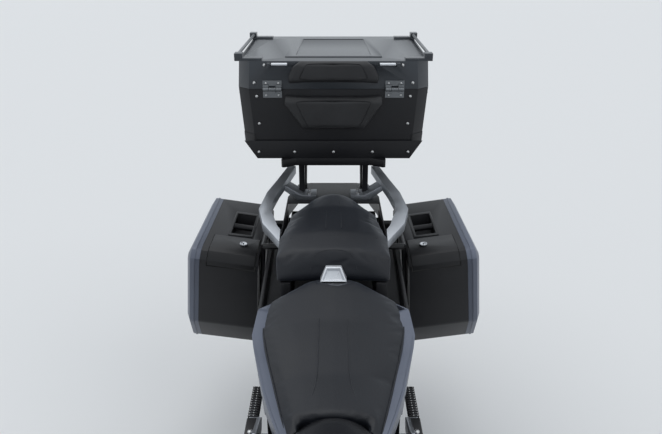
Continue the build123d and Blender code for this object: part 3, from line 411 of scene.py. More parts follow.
def grained_plastic(name, color, roughness):
    """Moulded plastic with a fine grain and slight dust in its colour."""
    material, tree, shader = new_material(name, color, roughness)
    dust = object_noise(tree, scale=7.0)
    grain = object_noise(tree, scale=900.0, detail=2.0)
    drifting_color(tree, shader, dust, color, shade_of(color, 1.35, lift=0.002))
    drifting_roughness(tree, shader, grain, low=roughness - 0.06, high=roughness + 0.06)
    bumped(tree, shader, grain, strength=0.25, distance=0.0004)
    set_inputs(shader, {"Specular IOR Level": 0.3})
    return material


def coated_sheet(name, color):
    """Anodised sheet with a clear satin coat."""
    material, tree, shader = new_material(name, color, roughness=0.4, metallic=0.4)
    cloud = object_noise(tree, scale=5.0)
    fine = object_noise(tree, scale=800.0, detail=2.0)
    drifting_color(tree, shader, cloud, color, shade_of(color, 1.3))
    drifting_roughness(tree, shader, fine, low=0.34, high=0.46)
    set_inputs(shader, {"Coat Weight": 0.7, "Coat Roughness": 0.3})
    return material


def gloss_black(name, color):
    """Black lacquer with a slight haze."""
    material, tree, shader = new_material(name, color, roughness=0.2)
    haze = object_noise(tree, scale=6.0)
    drifting_color(tree, shader, haze, color, shade_of(color, 1.8, lift=0.001))
    drifting_roughness(tree, shader, haze, low=0.14, high=0.26)
    return material


def leatherette(name, color):
    """Seat cover: pebbled grain, soft sheen and worn patches."""
    material, tree, shader = new_material(name, color, roughness=0.5)
    wear = object_noise(tree, scale=5.0)
    place = tree.nodes.new("ShaderNodeTexCoord")
    pebbles = tree.nodes.new("ShaderNodeTexVoronoi")
    pebbles.feature = "SMOOTH_F1"
    set_inputs(pebbles, {"Scale": 420.0})
    tree.links.new(place.outputs["Object"], pebbles.inputs["Vector"])
    drifting_color(tree, shader, wear, color, shade_of(color, 1.4))
    drifting_roughness(tree, shader, wear, low=0.4, high=0.52)
    bumped(tree, shader, pebbles.outputs["Distance"], strength=0.3, distance=0.0006)
    set_inputs(shader, {"Specular IOR Level": 0.36, "Sheen Weight": 0.09, "Sheen Roughness": 0.4})
    set_inputs(shader, {"Sheen Tint": (0.75, 0.85, 1.0, 1)})
    return material


def brushed_metal(name, color, roughness, stretch=(1, 40, 40)):
    """Bare metal with brush lines along one axis."""
    material, tree, shader = new_material(name, color, roughness, metallic=1.0)
    lines = object_noise(tree, scale=60.0, detail=4.0, stretch=stretch)
    drifting_color(tree, shader, lines, shade_of(color, 0.85), color)
    drifting_roughness(tree, shader, lines, low=roughness - 0.08, high=roughness + 0.1)
    bumped(tree, shader, lines, strength=0.08, distance=0.0003)
    return material


def cast_metal(name, color, roughness, metallic):
    """Cast and painted metal with a sandy skin."""
    material, tree, shader = new_material(name, color, roughness, metallic)
    skin = object_noise(tree, scale=500.0)
    stain = object_noise(tree, scale=9.0)
    drifting_color(tree, shader, stain, shade_of(color, 0.8), color)
    drifting_roughness(tree, shader, stain, low=roughness - 0.06, high=roughness + 0.08)
    bumped(tree, shader, skin, strength=0.2, distance=0.0004)
    return material


def satin_black(name, color, roughness):
    """Powder-coated steel: near black, with orange peel."""
    material, tree, shader = new_material(name, color, roughness, metallic=0.1)
    peel = object_noise(tree, scale=260.0, detail=1.0)
    scuff = object_noise(tree, scale=12.0)
    drifting_color(tree, shader, scuff, color, shade_of(color, 1.5, lift=0.002))
    drifting_roughness(tree, shader, scuff, low=roughness - 0.06, high=roughness + 0.06)
    bumped(tree, shader, peel, strength=0.12, distance=0.0004)
    return material


def soft_rubber(name, color, roughness):
    """Rubber with a dry bloom."""
    material, tree, shader = new_material(name, color, roughness)
    bloom = object_noise(tree, scale=14.0)
    fine = object_noise(tree, scale=1400.0, detail=1.0)
    drifting_color(tree, shader, bloom, color, shade_of(color, 1.7, lift=0.003))
    bumped(tree, shader, fine, strength=0.2, distance=0.0003)
    return material


def clear_glass(name, tint, roughness):
    """Clear moulded glazing."""
    material, tree, shader = new_material(name, tint, roughness)
    smear = object_noise(tree, scale=11.0)
    drifting_roughness(tree, shader, smear, low=roughness, high=roughness + 0.05)
    set_inputs(shader, {"Transmission Weight": 0.92, "IOR": 1.45})
    return material


FINISHES = {
    "body_paint": metallic_paint("blue_grey_paint", (0.115, 0.13, 0.17)),
    "frame_black": satin_black("frame_black", (0.008, 0.008, 0.009), 0.42),
    "cast_alloy": cast_metal("cast_alloy", (0.4, 0.42, 0.45), 0.4, metallic=0.85),
    "engine_grey": cast_metal("engine_grey", (0.045, 0.045, 0.05), 0.5, metallic=0.5),
    "steel": brushed_metal("brushed_steel", (0.55, 0.55, 0.55), 0.3),
    "bright": cast_metal("bright_catch", (0.8, 0.82, 0.85), 0.3, metallic=0.5),
    "seat_vinyl": leatherette("seat_leatherette", (0.005, 0.006, 0.009)),
    "case_black": grained_plastic("case_black", (0.008, 0.008, 0.0095), 0.46),
    "trim_black": grained_plastic("trim_black", (0.006, 0.006, 0.007), 0.42),
    "rubber": soft_rubber("black_rubber", (0.008, 0.008, 0.009), 0.6),
    "tyre": soft_rubber("tyre_rubber", (0.01, 0.01, 0.011), 0.72),
    "clear": clear_glass("clear_glazing", (0.86, 0.89, 0.9), 0.03),
    "lamp_red": clear_glass("red_lens", (0.45, 0.012, 0.012), 0.08),
}

LID_SHEET = coated_sheet("lid_sheet", (0.01, 0.014, 0.02))
HINGE_ZINC = cast_metal("hinge_zinc", (0.2, 0.21, 0.22), 0.42, metallic=0.8)
TANK_LACQUER = gloss_black("tank_lacquer", (0.006, 0.006, 0.007))
# Near-black matte finish that paints the shadow in the gaps round the pannier lock flaps
GAP_SHADOW_PAINT = soft_rubber("painted_gap_shadow", (0.002, 0.002, 0.002), 0.9)
MIRROR_SILVER = brushed_metal("mirror_silver", (0.85, 0.86, 0.88), 0.12, stretch=(1, 1, 1))

NODE_FINISHES = {
    "top_case_lid": LID_SHEET,
    "case_hinges_fixed": HINGE_ZINC,
    "case_hinges_moving": HINGE_ZINC,
}


def dress_nodes():
    """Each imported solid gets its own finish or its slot's."""
    for node, slot in slot_of.items():
        piece = nodes[node]
        piece.data.materials.clear()
        piece.data.materials.append(NODE_FINISHES.get(node, FINISHES[slot]))
        smooth(piece, SOLID_ANGLE)


# Studio: pale floor, soft lights and the photograph's view

FLOOR_SIZE = 60
FLOOR_COLOR = (0.8, 0.8, 0.79)
FLOOR_ROUGHNESS = 0.9
SKY_COLOR = (0.84, 0.91, 1.0, 1)
SKY_STRENGTH = 0.55
BACKGROUND_COLOR = (0.82, 0.87, 0.92, 1)
BACKGROUND_STRENGTH = 0.9
CAMERA_PLACE = (0.0, -1.04, 1.62)
CAMERA_DOWN = math.radians(23.2)
FOCAL_PIXELS = 600.0
PHOTO_WIDTH = 662.0
MIDDLE_COLUMN = 333.5
SENSOR = 36.0

# Name, place, width in degrees and power of each sun
SUNS = (
    ("high_sun", (-0.9, 0.5, 3.0), 70, 1.1),
    ("side_sun", (1.6, -0.8, 2.0), 40, 0.35),
)


def pale_floor():
    """A wide pale floor."""
    clear_selection()
    bpy.ops.mesh.primitive_plane_add(size=FLOOR_SIZE)
    floor = bpy.context.active_object
    floor.name = "floor"
    material, _, _ = new_material("pale_floor", FLOOR_COLOR, FLOOR_ROUGHNESS)
    floor.data.materials.append(material)


def background_rays(tree):
    """One where a ray comes from the camera, from gloss or through glass, and zero elsewhere."""
    rays = tree.nodes.new("ShaderNodeLightPath")
    share = rays.outputs["Is Camera Ray"]
    for kind in ("Is Glossy Ray", "Is Transmission Ray"):
        either = tree.nodes.new("ShaderNodeMath")
        either.operation = "MAXIMUM"
        tree.links.new(share, either.inputs[0])
        tree.links.new(rays.outputs[kind], either.inputs[1])
        share = either.outputs["Value"]
    return share


def studio_sky():
    """Even light from all round, with a paler background where it is seen."""
    world = bpy.data.worlds.new("studio")
    bpy.context.scene.world = world
    world.use_nodes = True
    tree = world.node_tree
    soft = tree.nodes["Background"]
    pale = tree.nodes.new("ShaderNodeBackground")
    mix = tree.nodes.new("ShaderNodeMixShader")
    set_inputs(soft, {"Color": SKY_COLOR, "Strength": SKY_STRENGTH})
    set_inputs(pale, {"Color": BACKGROUND_COLOR, "Strength": BACKGROUND_STRENGTH})
    tree.links.new(background_rays(tree), mix.inputs["Fac"])
    tree.links.new(soft.outputs["Background"], mix.inputs[1])
    tree.links.new(pale.outputs["Background"], mix.inputs[2])
    tree.links.new(mix.outputs["Shader"], tree.nodes["World Output"].inputs["Surface"])


def soft_suns():
    """Wide suns that point at the object."""
    for name, place, width, power in SUNS:
        clear_selection()
        bpy.ops.object.light_add(type="SUN", location=place)
        lamp = bpy.context.active_object
        lamp.name = name
        lamp.data.energy = power
        lamp.data.angle = math.radians(width)
        lamp.rotation_euler = (-Vector(place)).to_track_quat("-Z", "Y").to_euler()


def photo_camera():
    """The photograph's view."""
    clear_selection()
    bpy.ops.object.camera_add(location=CAMERA_PLACE, rotation=(math.pi / 2 - CAMERA_DOWN, 0, 0))
    camera = bpy.context.active_object
    camera.data.sensor_width = SENSOR
    camera.data.lens = FOCAL_PIXELS / PHOTO_WIDTH * SENSOR
    camera.data.shift_x = (PHOTO_WIDTH / 2 - MIDDLE_COLUMN) / PHOTO_WIDTH
    bpy.context.scene.camera = camera
    bpy.context.scene.view_settings.view_transform = "Standard"


# Rigid pieces with rounded edges

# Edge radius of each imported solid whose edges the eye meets
EDGE_RADII = {
    "grab_rails": 0.0045,
    "case_rack": 0.002,
    "top_case_base": 0.0022,
    "top_case_lid": 0.0016,
    "pannier_shell_left": 0.0022,
    "pannier_shell_right": 0.0022,
    "pannier_lid_left": 0.0012,
    "pannier_lid_right": 0.0012,
    "pannier_lock_left": 0.0012,
    "pannier_lock_right": 0.0012,
    "tail_cowl": 0.002,
    "mirrors": 0.006,
    "subframe": 0.002,
    "front_fender": 0.001,
    "side_fairings": 0.0025,
    "nose_fairing": 0.0025,
    "main_frame": 0.004,
    "swingarm": 0.004,
    "windscreen": 0.0012,
    "hand_levers": 0.0015,
    "rear_fender": 0.0012,
    "fork": 0.001,
    "yokes": 0.0015,
    "rider_footrests": 0.0015,
    "engine": 0.006,
    "front_calipers": 0.002,
}
WIDE_EDGE = 0.004

# Painted shadow in the gaps round the pannier lock flaps
LOCK_SHADOW_SINK = 0.0026
LOCK_SHADOW_GROWTH = 1.04

# Side covers
COVER_TOP_Z = 0.85
COVER_TOP_FACES_Z = 0.79
COVER_TOP_SLOPE = 0.5
COVER_FOLD = 0.02
COVER_FOLD_DROP = 0.006
COVER_TUCK = 0.5
COVER_EDGE = 0.0014
COVER_CUT_BOX = ((-0.3, -0.02, 0.0), (0.3, 0.6, 0.2))
COVER_CUT_PLACE = (0, 0.15, 0.868)
COVER_CUT_TURN = math.radians(-24)

# Seat catch
CATCH_INSET = 0.003
CATCH_FOOT = 0.004
CATCH_TOP_SHARE = 0.58
CATCH_TOP_DEPTH = 0.011
CATCH_RIM = (0.004, 0.0)
CATCH_POCKET = (0.003, -0.009)
CATCH_EDGE = 0.0012
CATCH_FRONT_SLOPE = -0.4
CORNER_REACH = 0.001

# Passenger's footrests
FOOTREST_INNER = 0.203
FOOTREST_SQUEEZE = 0.5
FOOTREST_PEG_Y = 0.19
FOOTREST_EDGE = 0.0015

# Seat tray
TRAY_LOW = (-0.212, 0.262, 0.738)
TRAY_HIGH = (0.212, 0.872, 0.782)
TRAY_FRONT_Y = 0.3
TRAY_FRONT_SHARE = 0.93
TRAY_RIM = (0.012, 0.0)
TRAY_HOLLOW = (0.004, -0.03)
TRAY_EDGE = 0.005

# Tank
TANK_VOXEL = 0.006
TANK_SMOOTHINGS = 12


def painted_lock_gap_shadows():
    """Painted shadow in the gap round each pannier's lock flap: a near-black matte skirt set a little
    below it.
    """
    for word in ("left", "right"):
        node = "pannier_lock_" + word
        low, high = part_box(node)
        middle = (low + high) / 2
        piece = copy_of_node(node, "pannier_lock_gap_shadow_" + word)
        piece.data.transform(
            Matrix.Translation(middle + Vector((0, LOCK_SHADOW_SINK, -LOCK_SHADOW_SINK)))
            @ Matrix.Diagonal((LOCK_SHADOW_GROWTH, LOCK_SHADOW_GROWTH, 1, 1))
            @ Matrix.Translation(-middle)
        )
        smooth(piece)
        finish_piece(piece, "chassis", "trim_black", GAP_SHADOW_PAINT)


def eased_nodes():
    """Pieces whose edges the eye meets, with those edges rounded."""
    made = {}
    for node, radius in EDGE_RADII.items():
        piece = copy_of_node(node, node + "_eased")
        softened(piece, radius, 3 if radius > WIDE_EDGE else 2)
        finish_piece(piece, body_of[node], slot_of[node], NODE_FINISHES.get(node))
        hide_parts(node)
        made[node] = piece
    return made


def fold_cover_top(piece, side):
    """The top of one side's cover drawn in towards the seat."""

    def on_top(centre, normal):
        upward = normal.z > COVER_TOP_SLOPE and centre.z > COVER_TOP_FACES_Z
        return upward and centre.x * side > 0

    pick_faces(piece, on_top)
    fold = (-side * COVER_FOLD, 0, -COVER_FOLD_DROP)
    bpy.ops.mesh.extrude_region_move(TRANSFORM_OT_translate={"value": fold})
    bpy.ops.object.mode_set(mode="OBJECT")


def trimmed_covers():
    """Side covers that end under the seat's rear half, with their tops folded in to the seat."""
    piece = copy_of_node("side_covers", "side_covers_trimmed")
    cutter = add_box("cutter", *COVER_CUT_BOX)
    slope = Matrix.Rotation(COVER_CUT_TURN, 4, "X")
    cutter.data.transform(Matrix.Translation(COVER_CUT_PLACE) @ slope)
    cut(piece, cutter)
    for side in SIDES:
        fold_cover_top(piece, side)
    for vertex in piece.data.vertices:
        below = max(0.0, COVER_TOP_Z - vertex.co.z)
        vertex.co.x *= 1 - COVER_TUCK * below
    softened(piece, COVER_EDGE)
    finish_piece(piece, "chassis", "body_paint")
    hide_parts("side_covers")


def narrowed_footrests():
    """Passenger's rests at the width of the ones in view."""
    node = "passenger_footrests"
    piece = copy_of_node(node, node + "_narrow")
    for vertex in piece.data.vertices:
        beyond = abs(vertex.co.x) - FOOTREST_INNER
        if beyond > 0 and vertex.co.y > FOOTREST_PEG_Y:
            vertex.co.x = math.copysign(FOOTREST_INNER + beyond * FOOTREST_SQUEEZE, vertex.co.x)
    softened(piece, FOOTREST_EDGE)
    finish_piece(piece, "chassis", slot_of[node])
    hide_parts(node)
    return piece


def seat_tray():
    """Inner mudguard under the seats, between the panniers."""
    tray = add_box("seat_tray", TRAY_LOW, TRAY_HIGH)
    for vertex in tray.data.vertices:
        if vertex.co.y < TRAY_FRONT_Y:
            vertex.co.x *= TRAY_FRONT_SHARE
    set_in(tray, facing_up, TRAY_RIM, TRAY_HOLLOW)
    softened(tray, TRAY_EDGE, 3)
    finish_piece(tray, "chassis", "trim_black")


def scooped_catch():
    """The seat catch as a flared scoop with a bright rim round its pocket."""
    low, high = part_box("seat_catch")
    front = (low.x, low.y + CATCH_INSET, low.z + CATCH_FOOT)
    piece = add_box("seat_catch_scoop", front, high)
    for vertex in piece.data.vertices:
        if vertex.co.z > high.z - CORNER_REACH:
            vertex.co.x *= CATCH_TOP_SHARE
            if vertex.co.y < high.y - CORNER_REACH:
                vertex.co.y = high.y - CATCH_TOP_DEPTH
    set_in(piece, lambda centre, normal: normal.y < CATCH_FRONT_SLOPE, CATCH_RIM, CATCH_POCKET)
    softened(piece, CATCH_EDGE, 3)
    finish_piece(piece, "chassis", "bright")
    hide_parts("seat_catch")


def smoothed_tank():
    """The tank's pressed skin, without the solid's flat facets."""
    piece = copy_of_node("fuel_tank", "fuel_tank_skin")
    modified(piece, "REMESH", mode="VOXEL", voxel_size=TANK_VOXEL)
    modified(piece, "SMOOTH", factor=SMOOTHING, iterations=TANK_SMOOTHINGS)
    smooth_all(piece)
    finish_piece(piece, "chassis", "trim_black", TANK_LACQUER)
    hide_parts("fuel_tank")


# Upholstery

# Stuffing and covers
SEAT_VOXEL = 0.006
SEAT_SWELL = 0.006
PAD_VOXEL = 0.0035
PAD_SWELL = 0.0025
STUFFING_PRESSURE = 4.0
STUFFING_MOMENTS = 20
COVER_SMOOTHINGS = 4
SEAT_WIDEST_Y = 0.12
SEAT_TAPER = 0.25

# Voxel, swell and half width of each padded piece
PADDING = {
    "rider_seat": (SEAT_VOXEL, SEAT_SWELL, 0.177),
    "passenger_seat": (SEAT_VOXEL, SEAT_SWELL, 0.15),
    "backrest_pad_lower": (PAD_VOXEL, PAD_SWELL, 0.149),
    "backrest_pad_upper": (PAD_VOXEL, PAD_SWELL, 0.136),
}

# Piping and seams
PIPING_R = 0.0024
PIPING_PROUD = 0.3
PIPING_RISE = 0.008
SEAM_R = 0.0011
SEAM_PROUD = 0.2
SEAT_SEAM_X = 0.033
PILLION_SEAM_X = 0.0216
ABOVE_SEATS_Z = 1.2

# Left edge of the rider's seat (x, y, z), then seams seen from above (x, y)
RIDER_EDGE = (
    (0.174, 0.16, 0.835),
    (0.163, 0.095, 0.83),
    (0.15, 0.034, 0.825),
    (0.136, -0.02, 0.82),
    (0.122, -0.072, 0.815),
    (0.111, -0.112, 0.812),
    (0.101, -0.152, 0.81),
    (0.094, -0.19, 0.81),
)
RIDER_SEAM = (
    (SEAT_SEAM_X, 0.145),
    (SEAT_SEAM_X, 0.05),
    (SEAT_SEAM_X, -0.05),
    (0.042, -0.11),
    (0.062, -0.155),
)
PILLION_RIDGE = ((PILLION_SEAM_X, 0.455), (PILLION_SEAM_X, 0.55), (0.018, 0.65))
PILLION_CREASE = ((-0.118, 0.425), (-0.06, 0.414), (0.0, 0.411), (0.06, 0.414), (0.118, 0.425))
PILLION_ARCH = (
    (-0.06, 0.328),
    (-0.056, 0.34),
    (-0.038, 0.352),
    (0, 0.355),
    (0.038, 0.352),
    (0.056, 0.34),
    (0.06, 0.328),
)

# Left half of each back pad's pressed line, seen from the front: (x, z)
PAD_LINES = {
    "backrest_pad_upper": ((0.104, 1.289), (0.1, 1.3), (0.084, 1.332), (0.07, 1.336)),
    "backrest_pad_lower": ((0.115, 1.226), (0.112, 1.215), (0.083, 1.152), (0.07, 1.144)),
}
PAD_LINE_R = 0.0016
PAD_LINE_LIFT = 0.0003
BEFORE_PADS_Y = 0.6


def swollen(piece, pressure, moments):
    """The piece blown up by cloth pressure."""
    choose(piece)
    cloth = piece.modifiers.new("Stuffing", "CLOTH")
    cloth.settings.use_pressure = True
    cloth.settings.uniform_pressure_force = pressure
    cloth.settings.effector_weights.gravity = 0
    scene = bpy.context.scene
    for moment in range(1, moments + 1):
        scene.frame_set(moment)
    bpy.ops.object.modifier_apply(modifier=cloth.name)
    scene.frame_set(1)
    return piece


def stuffed(piece, voxel, swell):
    """The piece remeshed, swollen and capped, then smoothed."""
    modified(piece, "REMESH", mode="VOXEL", voxel_size=voxel)
    modified(piece, "SMOOTH", factor=SMOOTHING, iterations=COVER_SMOOTHINGS)
    rest = [vertex.co.copy() for vertex in piece.data.vertices]
    swollen(piece, STUFFING_PRESSURE, STUFFING_MOMENTS)
    for vertex, start in zip(piece.data.vertices, rest):
        shift = vertex.co - start
        if shift.length > swell:
            vertex.co = start + shift * (swell / shift.length)
    modified(piece, "SUBSURF", levels=1, render_levels=1)
    return smooth_all(piece)


def upholstery():
    """The two seats and the two back pads."""
    made = {}
    for node, (voxel, swell, half) in PADDING.items():
        piece = copy_of_node(node, node + "_cover")
        stuffed(piece, voxel, swell)
        reach = max(vertex.co.x for vertex in piece.data.vertices)
        piece.data.transform(Matrix.Diagonal((half / reach, 1, 1, 1)))
        for vertex in piece.data.vertices:
            if node == "rider_seat" and vertex.co.y < SEAT_WIDEST_Y:
                vertex.co.x *= 1 - SEAT_TAPER * (SEAT_WIDEST_Y - vertex.co.y)
        finish_piece(piece, body_of[node], slot_of[node])
        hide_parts(node)
        made[node] = piece
    return made


def seam_over(cover, route, side=1, lift=0.0):
    """A sewn line along a route seen from above."""
    starts = [(side * x, y, ABOVE_SEATS_Z) for x, y in route]
    return tube("seam", laid_on(cover, starts, DOWN, lift), SEAM_R)


def seat_seams(covers):
    """Piping along the rider's seat and the sewn lines across both seats' tops."""
    rider, pillion = covers["rider_seat"], covers["passenger_seat"]
    lines = []
    for side in SIDES:
        edge = [(side * x, y, z + PIPING_RISE) for x, y, z in RIDER_EDGE]
        lines.append(tube("seam", drawn_to(rider, edge, PIPING_R * PIPING_PROUD), PIPING_R))
        lines.append(seam_over(rider, RIDER_SEAM, side, SEAM_R * SEAM_PROUD))
        lines.append(seam_over(pillion, PILLION_RIDGE, side, SEAM_R * SEAM_PROUD))
    lines.append(seam_over(pillion, PILLION_CREASE))
    lines.append(seam_over(pillion, PILLION_ARCH))
    finish_piece(joined("seat_seams", lines), "chassis", "seat_vinyl")


def pad_panels(covers):
    """Pressed panel lines in the two back pads."""
    for node, corners in PAD_LINES.items():
        loop = [*corners, *[(-x, z) for x, z in reversed(corners)]]
        starts = [(x, BEFORE_PADS_Y, z) for x, z in loop]
        points = laid_on(covers[node], starts, BACK, PAD_LINE_LIFT)
        piece = tube(node + "_panel_line", points, PAD_LINE_R, closed=True)
        finish_piece(piece, body_of[node], "trim_black")


# Wheels

# Tyres
TREAD_STEPS = 288
SECTION_STEPS = 44
SECTION_SHARE = 0.62
RIM_FLANGE = 0.011
TREAD_PITCHES = 36
GROOVE_DEPTH = 0.0045
GROOVE_DRAFT = 0.0004
GROOVE_START = 0.1
GROOVE_END = 0.86
GROOVE_SLANT = 1.4
GROOVE_WIDTH = 0.26
TREAD_ANGLE = 40

# Brake discs
DISC_HOLE_R = 0.004
DISC_HOLES = 24
DISC_ROWS = (0.009, 0.018, 0.027)
DISC_ANGLE = 30
DRILL_LENGTH = 0.3
DRILL_SIDES = 10


def tyre_section(piece, middle, half, tall, bead):
    """The ring's round section widened to the tyre's width and cut off at its bead."""
    for vertex in piece.data.vertices:
        offset = vertex.co - middle
        offset.x *= half / tall
        reach = math.hypot(offset.y, offset.z)
        if reach < bead:
            offset.y *= bead / reach
            offset.z *= bead / reach
        vertex.co = middle + offset


def cut_tread(piece, middle, half, ring):
    """Slanted grooves from the crown to the shoulders, set half a pitch apart side to side."""
    pitch = 2 * math.pi / TREAD_PITCHES

    def in_groove(centre, normal):
        offset = centre - middle
        share = abs(offset.x) / half
        outside = math.hypot(offset.y, offset.z) >= ring
        if not outside or not GROOVE_START < share < GROOVE_END:
            return False
        turn = math.atan2(offset.z, offset.y) + share * pitch * GROOVE_SLANT
        if offset.x < 0:
            turn += pitch / 2
        return (turn % pitch) / pitch < GROOVE_WIDTH

    pick_faces(piece, in_groove)
    bpy.ops.mesh.inset(thickness=GROOVE_DRAFT, depth=-GROOVE_DEPTH, use_boundary=True)
    bpy.ops.object.mode_set(mode="OBJECT")


def grooved_tyre(node):
    """A round tyre with its tread, over the wheel's carcass."""
    low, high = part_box(node)
    rim_low, rim_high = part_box(node.replace("tyre", "rim"))
    middle = (low + high) / 2
    half = (high.x - low.x) / 2
    outer = (high.z - low.z) / 2
    bead = (rim_high.z - rim_low.z) / 2 - RIM_FLANGE
    tall = (outer - bead) * SECTION_SHARE
    ring = outer - tall
    clear_selection()
    bpy.ops.mesh.primitive_torus_add(
        major_segments=TREAD_STEPS,
        minor_segments=SECTION_STEPS,
        major_radius=ring,
        minor_radius=tall,
        location=middle,
        rotation=(0, math.pi / 2, 0),
    )
    piece = bpy.context.active_object
    piece.name = node + "_grooved"
    settle(piece)
    tyre_section(piece, middle, half, tall, bead)
    cut_tread(piece, middle, half, ring)
    smooth(piece, TREAD_ANGLE)
    finish_piece(piece, body_of[node], "tyre")
    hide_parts(node)


def drilled_disc(node):
    """Brake discs with their cooling holes drilled through."""
    low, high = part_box(node)
    middle = (low + high) / 2
    outer = (high.z - low.z) / 2
    piece = copy_of_node(node, node + "_drilled")
    drill = add_round("drill", DISC_HOLE_R, DRILL_LENGTH, DRILL_SIDES)
    drill.data.transform(Matrix.Translation((0, 0, -DRILL_LENGTH / 2)))
    places = []
    for row, inset in enumerate(DISC_ROWS):
        offsets = around(outer - inset, DISC_HOLES, row / len(DISC_ROWS))
        places += [(middle + offset, LEFT) for offset in offsets]
    cut(piece, spread("drills", drill, places))
    smooth(piece, DISC_ANGLE)
    finish_piece(piece, body_of[node], slot_of[node])
    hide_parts(node)


# Rivets and screws, in shares of their radius

RIVET_R = 0.0048
RIVET_SIDES = 14
RIVET_COLLAR = 0.42
RIVET_DOME = ((0.22, 0.34), (0.38, 0.16))
RIVET_ANGLE = 50
SCREW_SIDES = 18
SCREW_HEIGHT = 0.8
SCREW_EDGE = 0.14
SCREW_RIM = 0.34
SCREW_ANGLE = 40
SOCKET_DRAFT = 0.04
SOCKET_DEPTH = 0.45
TOP_REACH = 0.01


def rivet(radius=RIVET_R):
    """A domed rivet on a thin collar."""
    piece = add_round("rivet", radius, radius * RIVET_COLLAR, RIVET_SIDES)
    pick_faces(piece, facing_up)
    for width, rise in RIVET_DOME:
        bpy.ops.mesh.inset(thickness=radius * width)
        bpy.ops.transform.translate(value=(0, 0, radius * rise))
    bpy.ops.object.mode_set(mode="OBJECT")
    return smooth(piece, RIVET_ANGLE)


def socket_screw(radius):
    """A cylinder-head screw with its socket."""
    piece = add_round("screw", radius, radius * SCREW_HEIGHT, SCREW_SIDES)
    bevelled(piece, radius * SCREW_EDGE)
    top = radius * (SCREW_HEIGHT - TOP_REACH)
    rim = (radius * SCREW_RIM, 0.0)
    socket = (radius * SOCKET_DRAFT, -radius * SOCKET_DEPTH)
    set_in(piece, lambda centre, normal: facing_up(centre, normal) and centre.z > top, rim, socket)
    return smooth(piece, SCREW_ANGLE)


# Top case

# Starts of the lines that look for the case's front, rear and sides
BEFORE_CASE_Y = 0.7
BEHIND_CASE_Y = 1.4
BESIDE_CASE_X = 0.5

# Lower front plate
FRONT_PLATE_LOW = (-0.2815, 0.7993, 1.036)
FRONT_PLATE_HIGH = (0.2815, 0.8035, 1.094)
FRONT_PLATE_FOOT = 0.243
FRONT_PLATE_FOOT_Z = 1.05
FRONT_PLATE_RIVETS_Z = 1.09
FRONT_PLATE_EDGE = 0.0006

# Rivets, on both sides of the middle: (x, z)
TUB_RIVETS = ((0.2356, 1.235), (0.232, 1.149), (0.237, 1.058), (0.1236, 1.058), (0.0, 1.058))
LID_RIVET = (0.2414, 1.276)
LID_CORNER_RIVET = (0.209, 1.3285)
TUB_SIDE_RIVETS_Y = (0.86, 1.025, 1.19)
TUB_SIDE_RIVETS_Z = (1.1, 1.235)

# Tie-down loops
LOOP_MIDDLE_X = 0.163
LOOP_ENDS_X = (0.139, 0.15, 0.175, 0.186)
LOOP_Z = 1.333
LOOP_LIFT = 0.001
LOOP_BAR_R = 0.0042

# Corner caps
CAP_INNER_X = 0.246
CAP_OUTER_X = 0.4
CAP_BOTTOM_Z = 1.0
CAP_TOP_Z = 1.112
CAP_WALL = 0.0016
CAP_ANGLE = 30

# Hinge leaves
LEAF_RIVETS_X = (0.168, 0.206)
LEAF_RIVET_R = 0.0034
LEAF_INSET = 0.008


def tub_front():
    """The lower edge of the top case's flat front."""
    plate = add_box("top_case_front", FRONT_PLATE_LOW, FRONT_PLATE_HIGH)
    for vertex in plate.data.vertices:
        if vertex.co.z < FRONT_PLATE_FOOT_Z:
            vertex.co.x *= FRONT_PLATE_FOOT / FRONT_PLATE_HIGH[0]
    softened(plate, FRONT_PLATE_EDGE)
    finish_piece(plate, "chassis", "case_black")
    return plate


def tub_rivets(shown):
    """Rivets along the tub's front, back and sides."""
    tub = shown["top_case_base"]
    places = []
    for x, z in TUB_RIVETS:
        front = shown["tub_front"] if z < FRONT_PLATE_RIVETS_Z else tub
        for side in SIDES if x else (1,):
            places.append(surface_point(front, (side * x, BEFORE_CASE_Y, z), BACK))
            places.append(surface_point(tub, (side * x, BEHIND_CASE_Y, z), AHEAD))
    for y in TUB_SIDE_RIVETS_Y:
        for z in TUB_SIDE_RIVETS_Z:
            places.append(surface_point(tub, (BESIDE_CASE_X, y, z), RIGHT))
            places.append(surface_point(tub, (-BESIDE_CASE_X, y, z), LEFT))
    finish_piece(spread("top_case_rivets", rivet(), places), "chassis", "steel")


def lid_rivets(shown):
    """Rivets at the lid's corners."""
    lid = shown["top_case_lid"]
    x, z = LID_RIVET
    corner_x, corner_z = LID_CORNER_RIVET
    places = []
    for side in SIDES:
        places.append(surface_point(lid, (side * x, BEFORE_CASE_Y, z), BACK))
        places.append(surface_point(lid, (side * x, BEHIND_CASE_Y, z), AHEAD))
        places.append(surface_point(lid, (side * corner_x, BEFORE_CASE_Y, corner_z), BACK))
    finish_piece(spread("top_case_lid_rivets", rivet(), places), "top_case_lid", "steel")


def tie_down_bars(shown):
    """Bright bars of the tie-down loops on the lid's front."""
    bars = []
    for side in SIDES:
        start = (side * LOOP_MIDDLE_X, BEFORE_CASE_Y, LOOP_Z)
        place, _ = surface_point(shown["top_case_lid"], start, BACK)
        line = [(side * x, place.y - LOOP_LIFT, LOOP_Z) for x in LOOP_ENDS_X]
        bars.append(tube("bar", line, LOOP_BAR_R, sides=6))
    finish_piece(joined("tie_down_bars", bars), "top_case_lid", "bright")


def corner_caps(shown):
    """Moulded caps on the top case's lower corners."""
    caps = []
    for side in SIDES:
        cap = twin_of(shown["top_case_base"], "cap")
        inner, outer = sorted((side * CAP_INNER_X, side * CAP_OUTER_X))
        low = (inner, BEFORE_CASE_Y, CAP_BOTTOM_Z)
        high = (outer, BEHIND_CASE_Y, CAP_TOP_Z)
        cut(cap, add_box("cutter", low, high), "INTERSECT")
        caps.append(modified(cap, "SOLIDIFY", thickness=CAP_WALL, offset=1.0))
    piece = smooth(joined("top_case_corner_caps", caps), CAP_ANGLE)
    finish_piece(piece, "chassis", "trim_black")


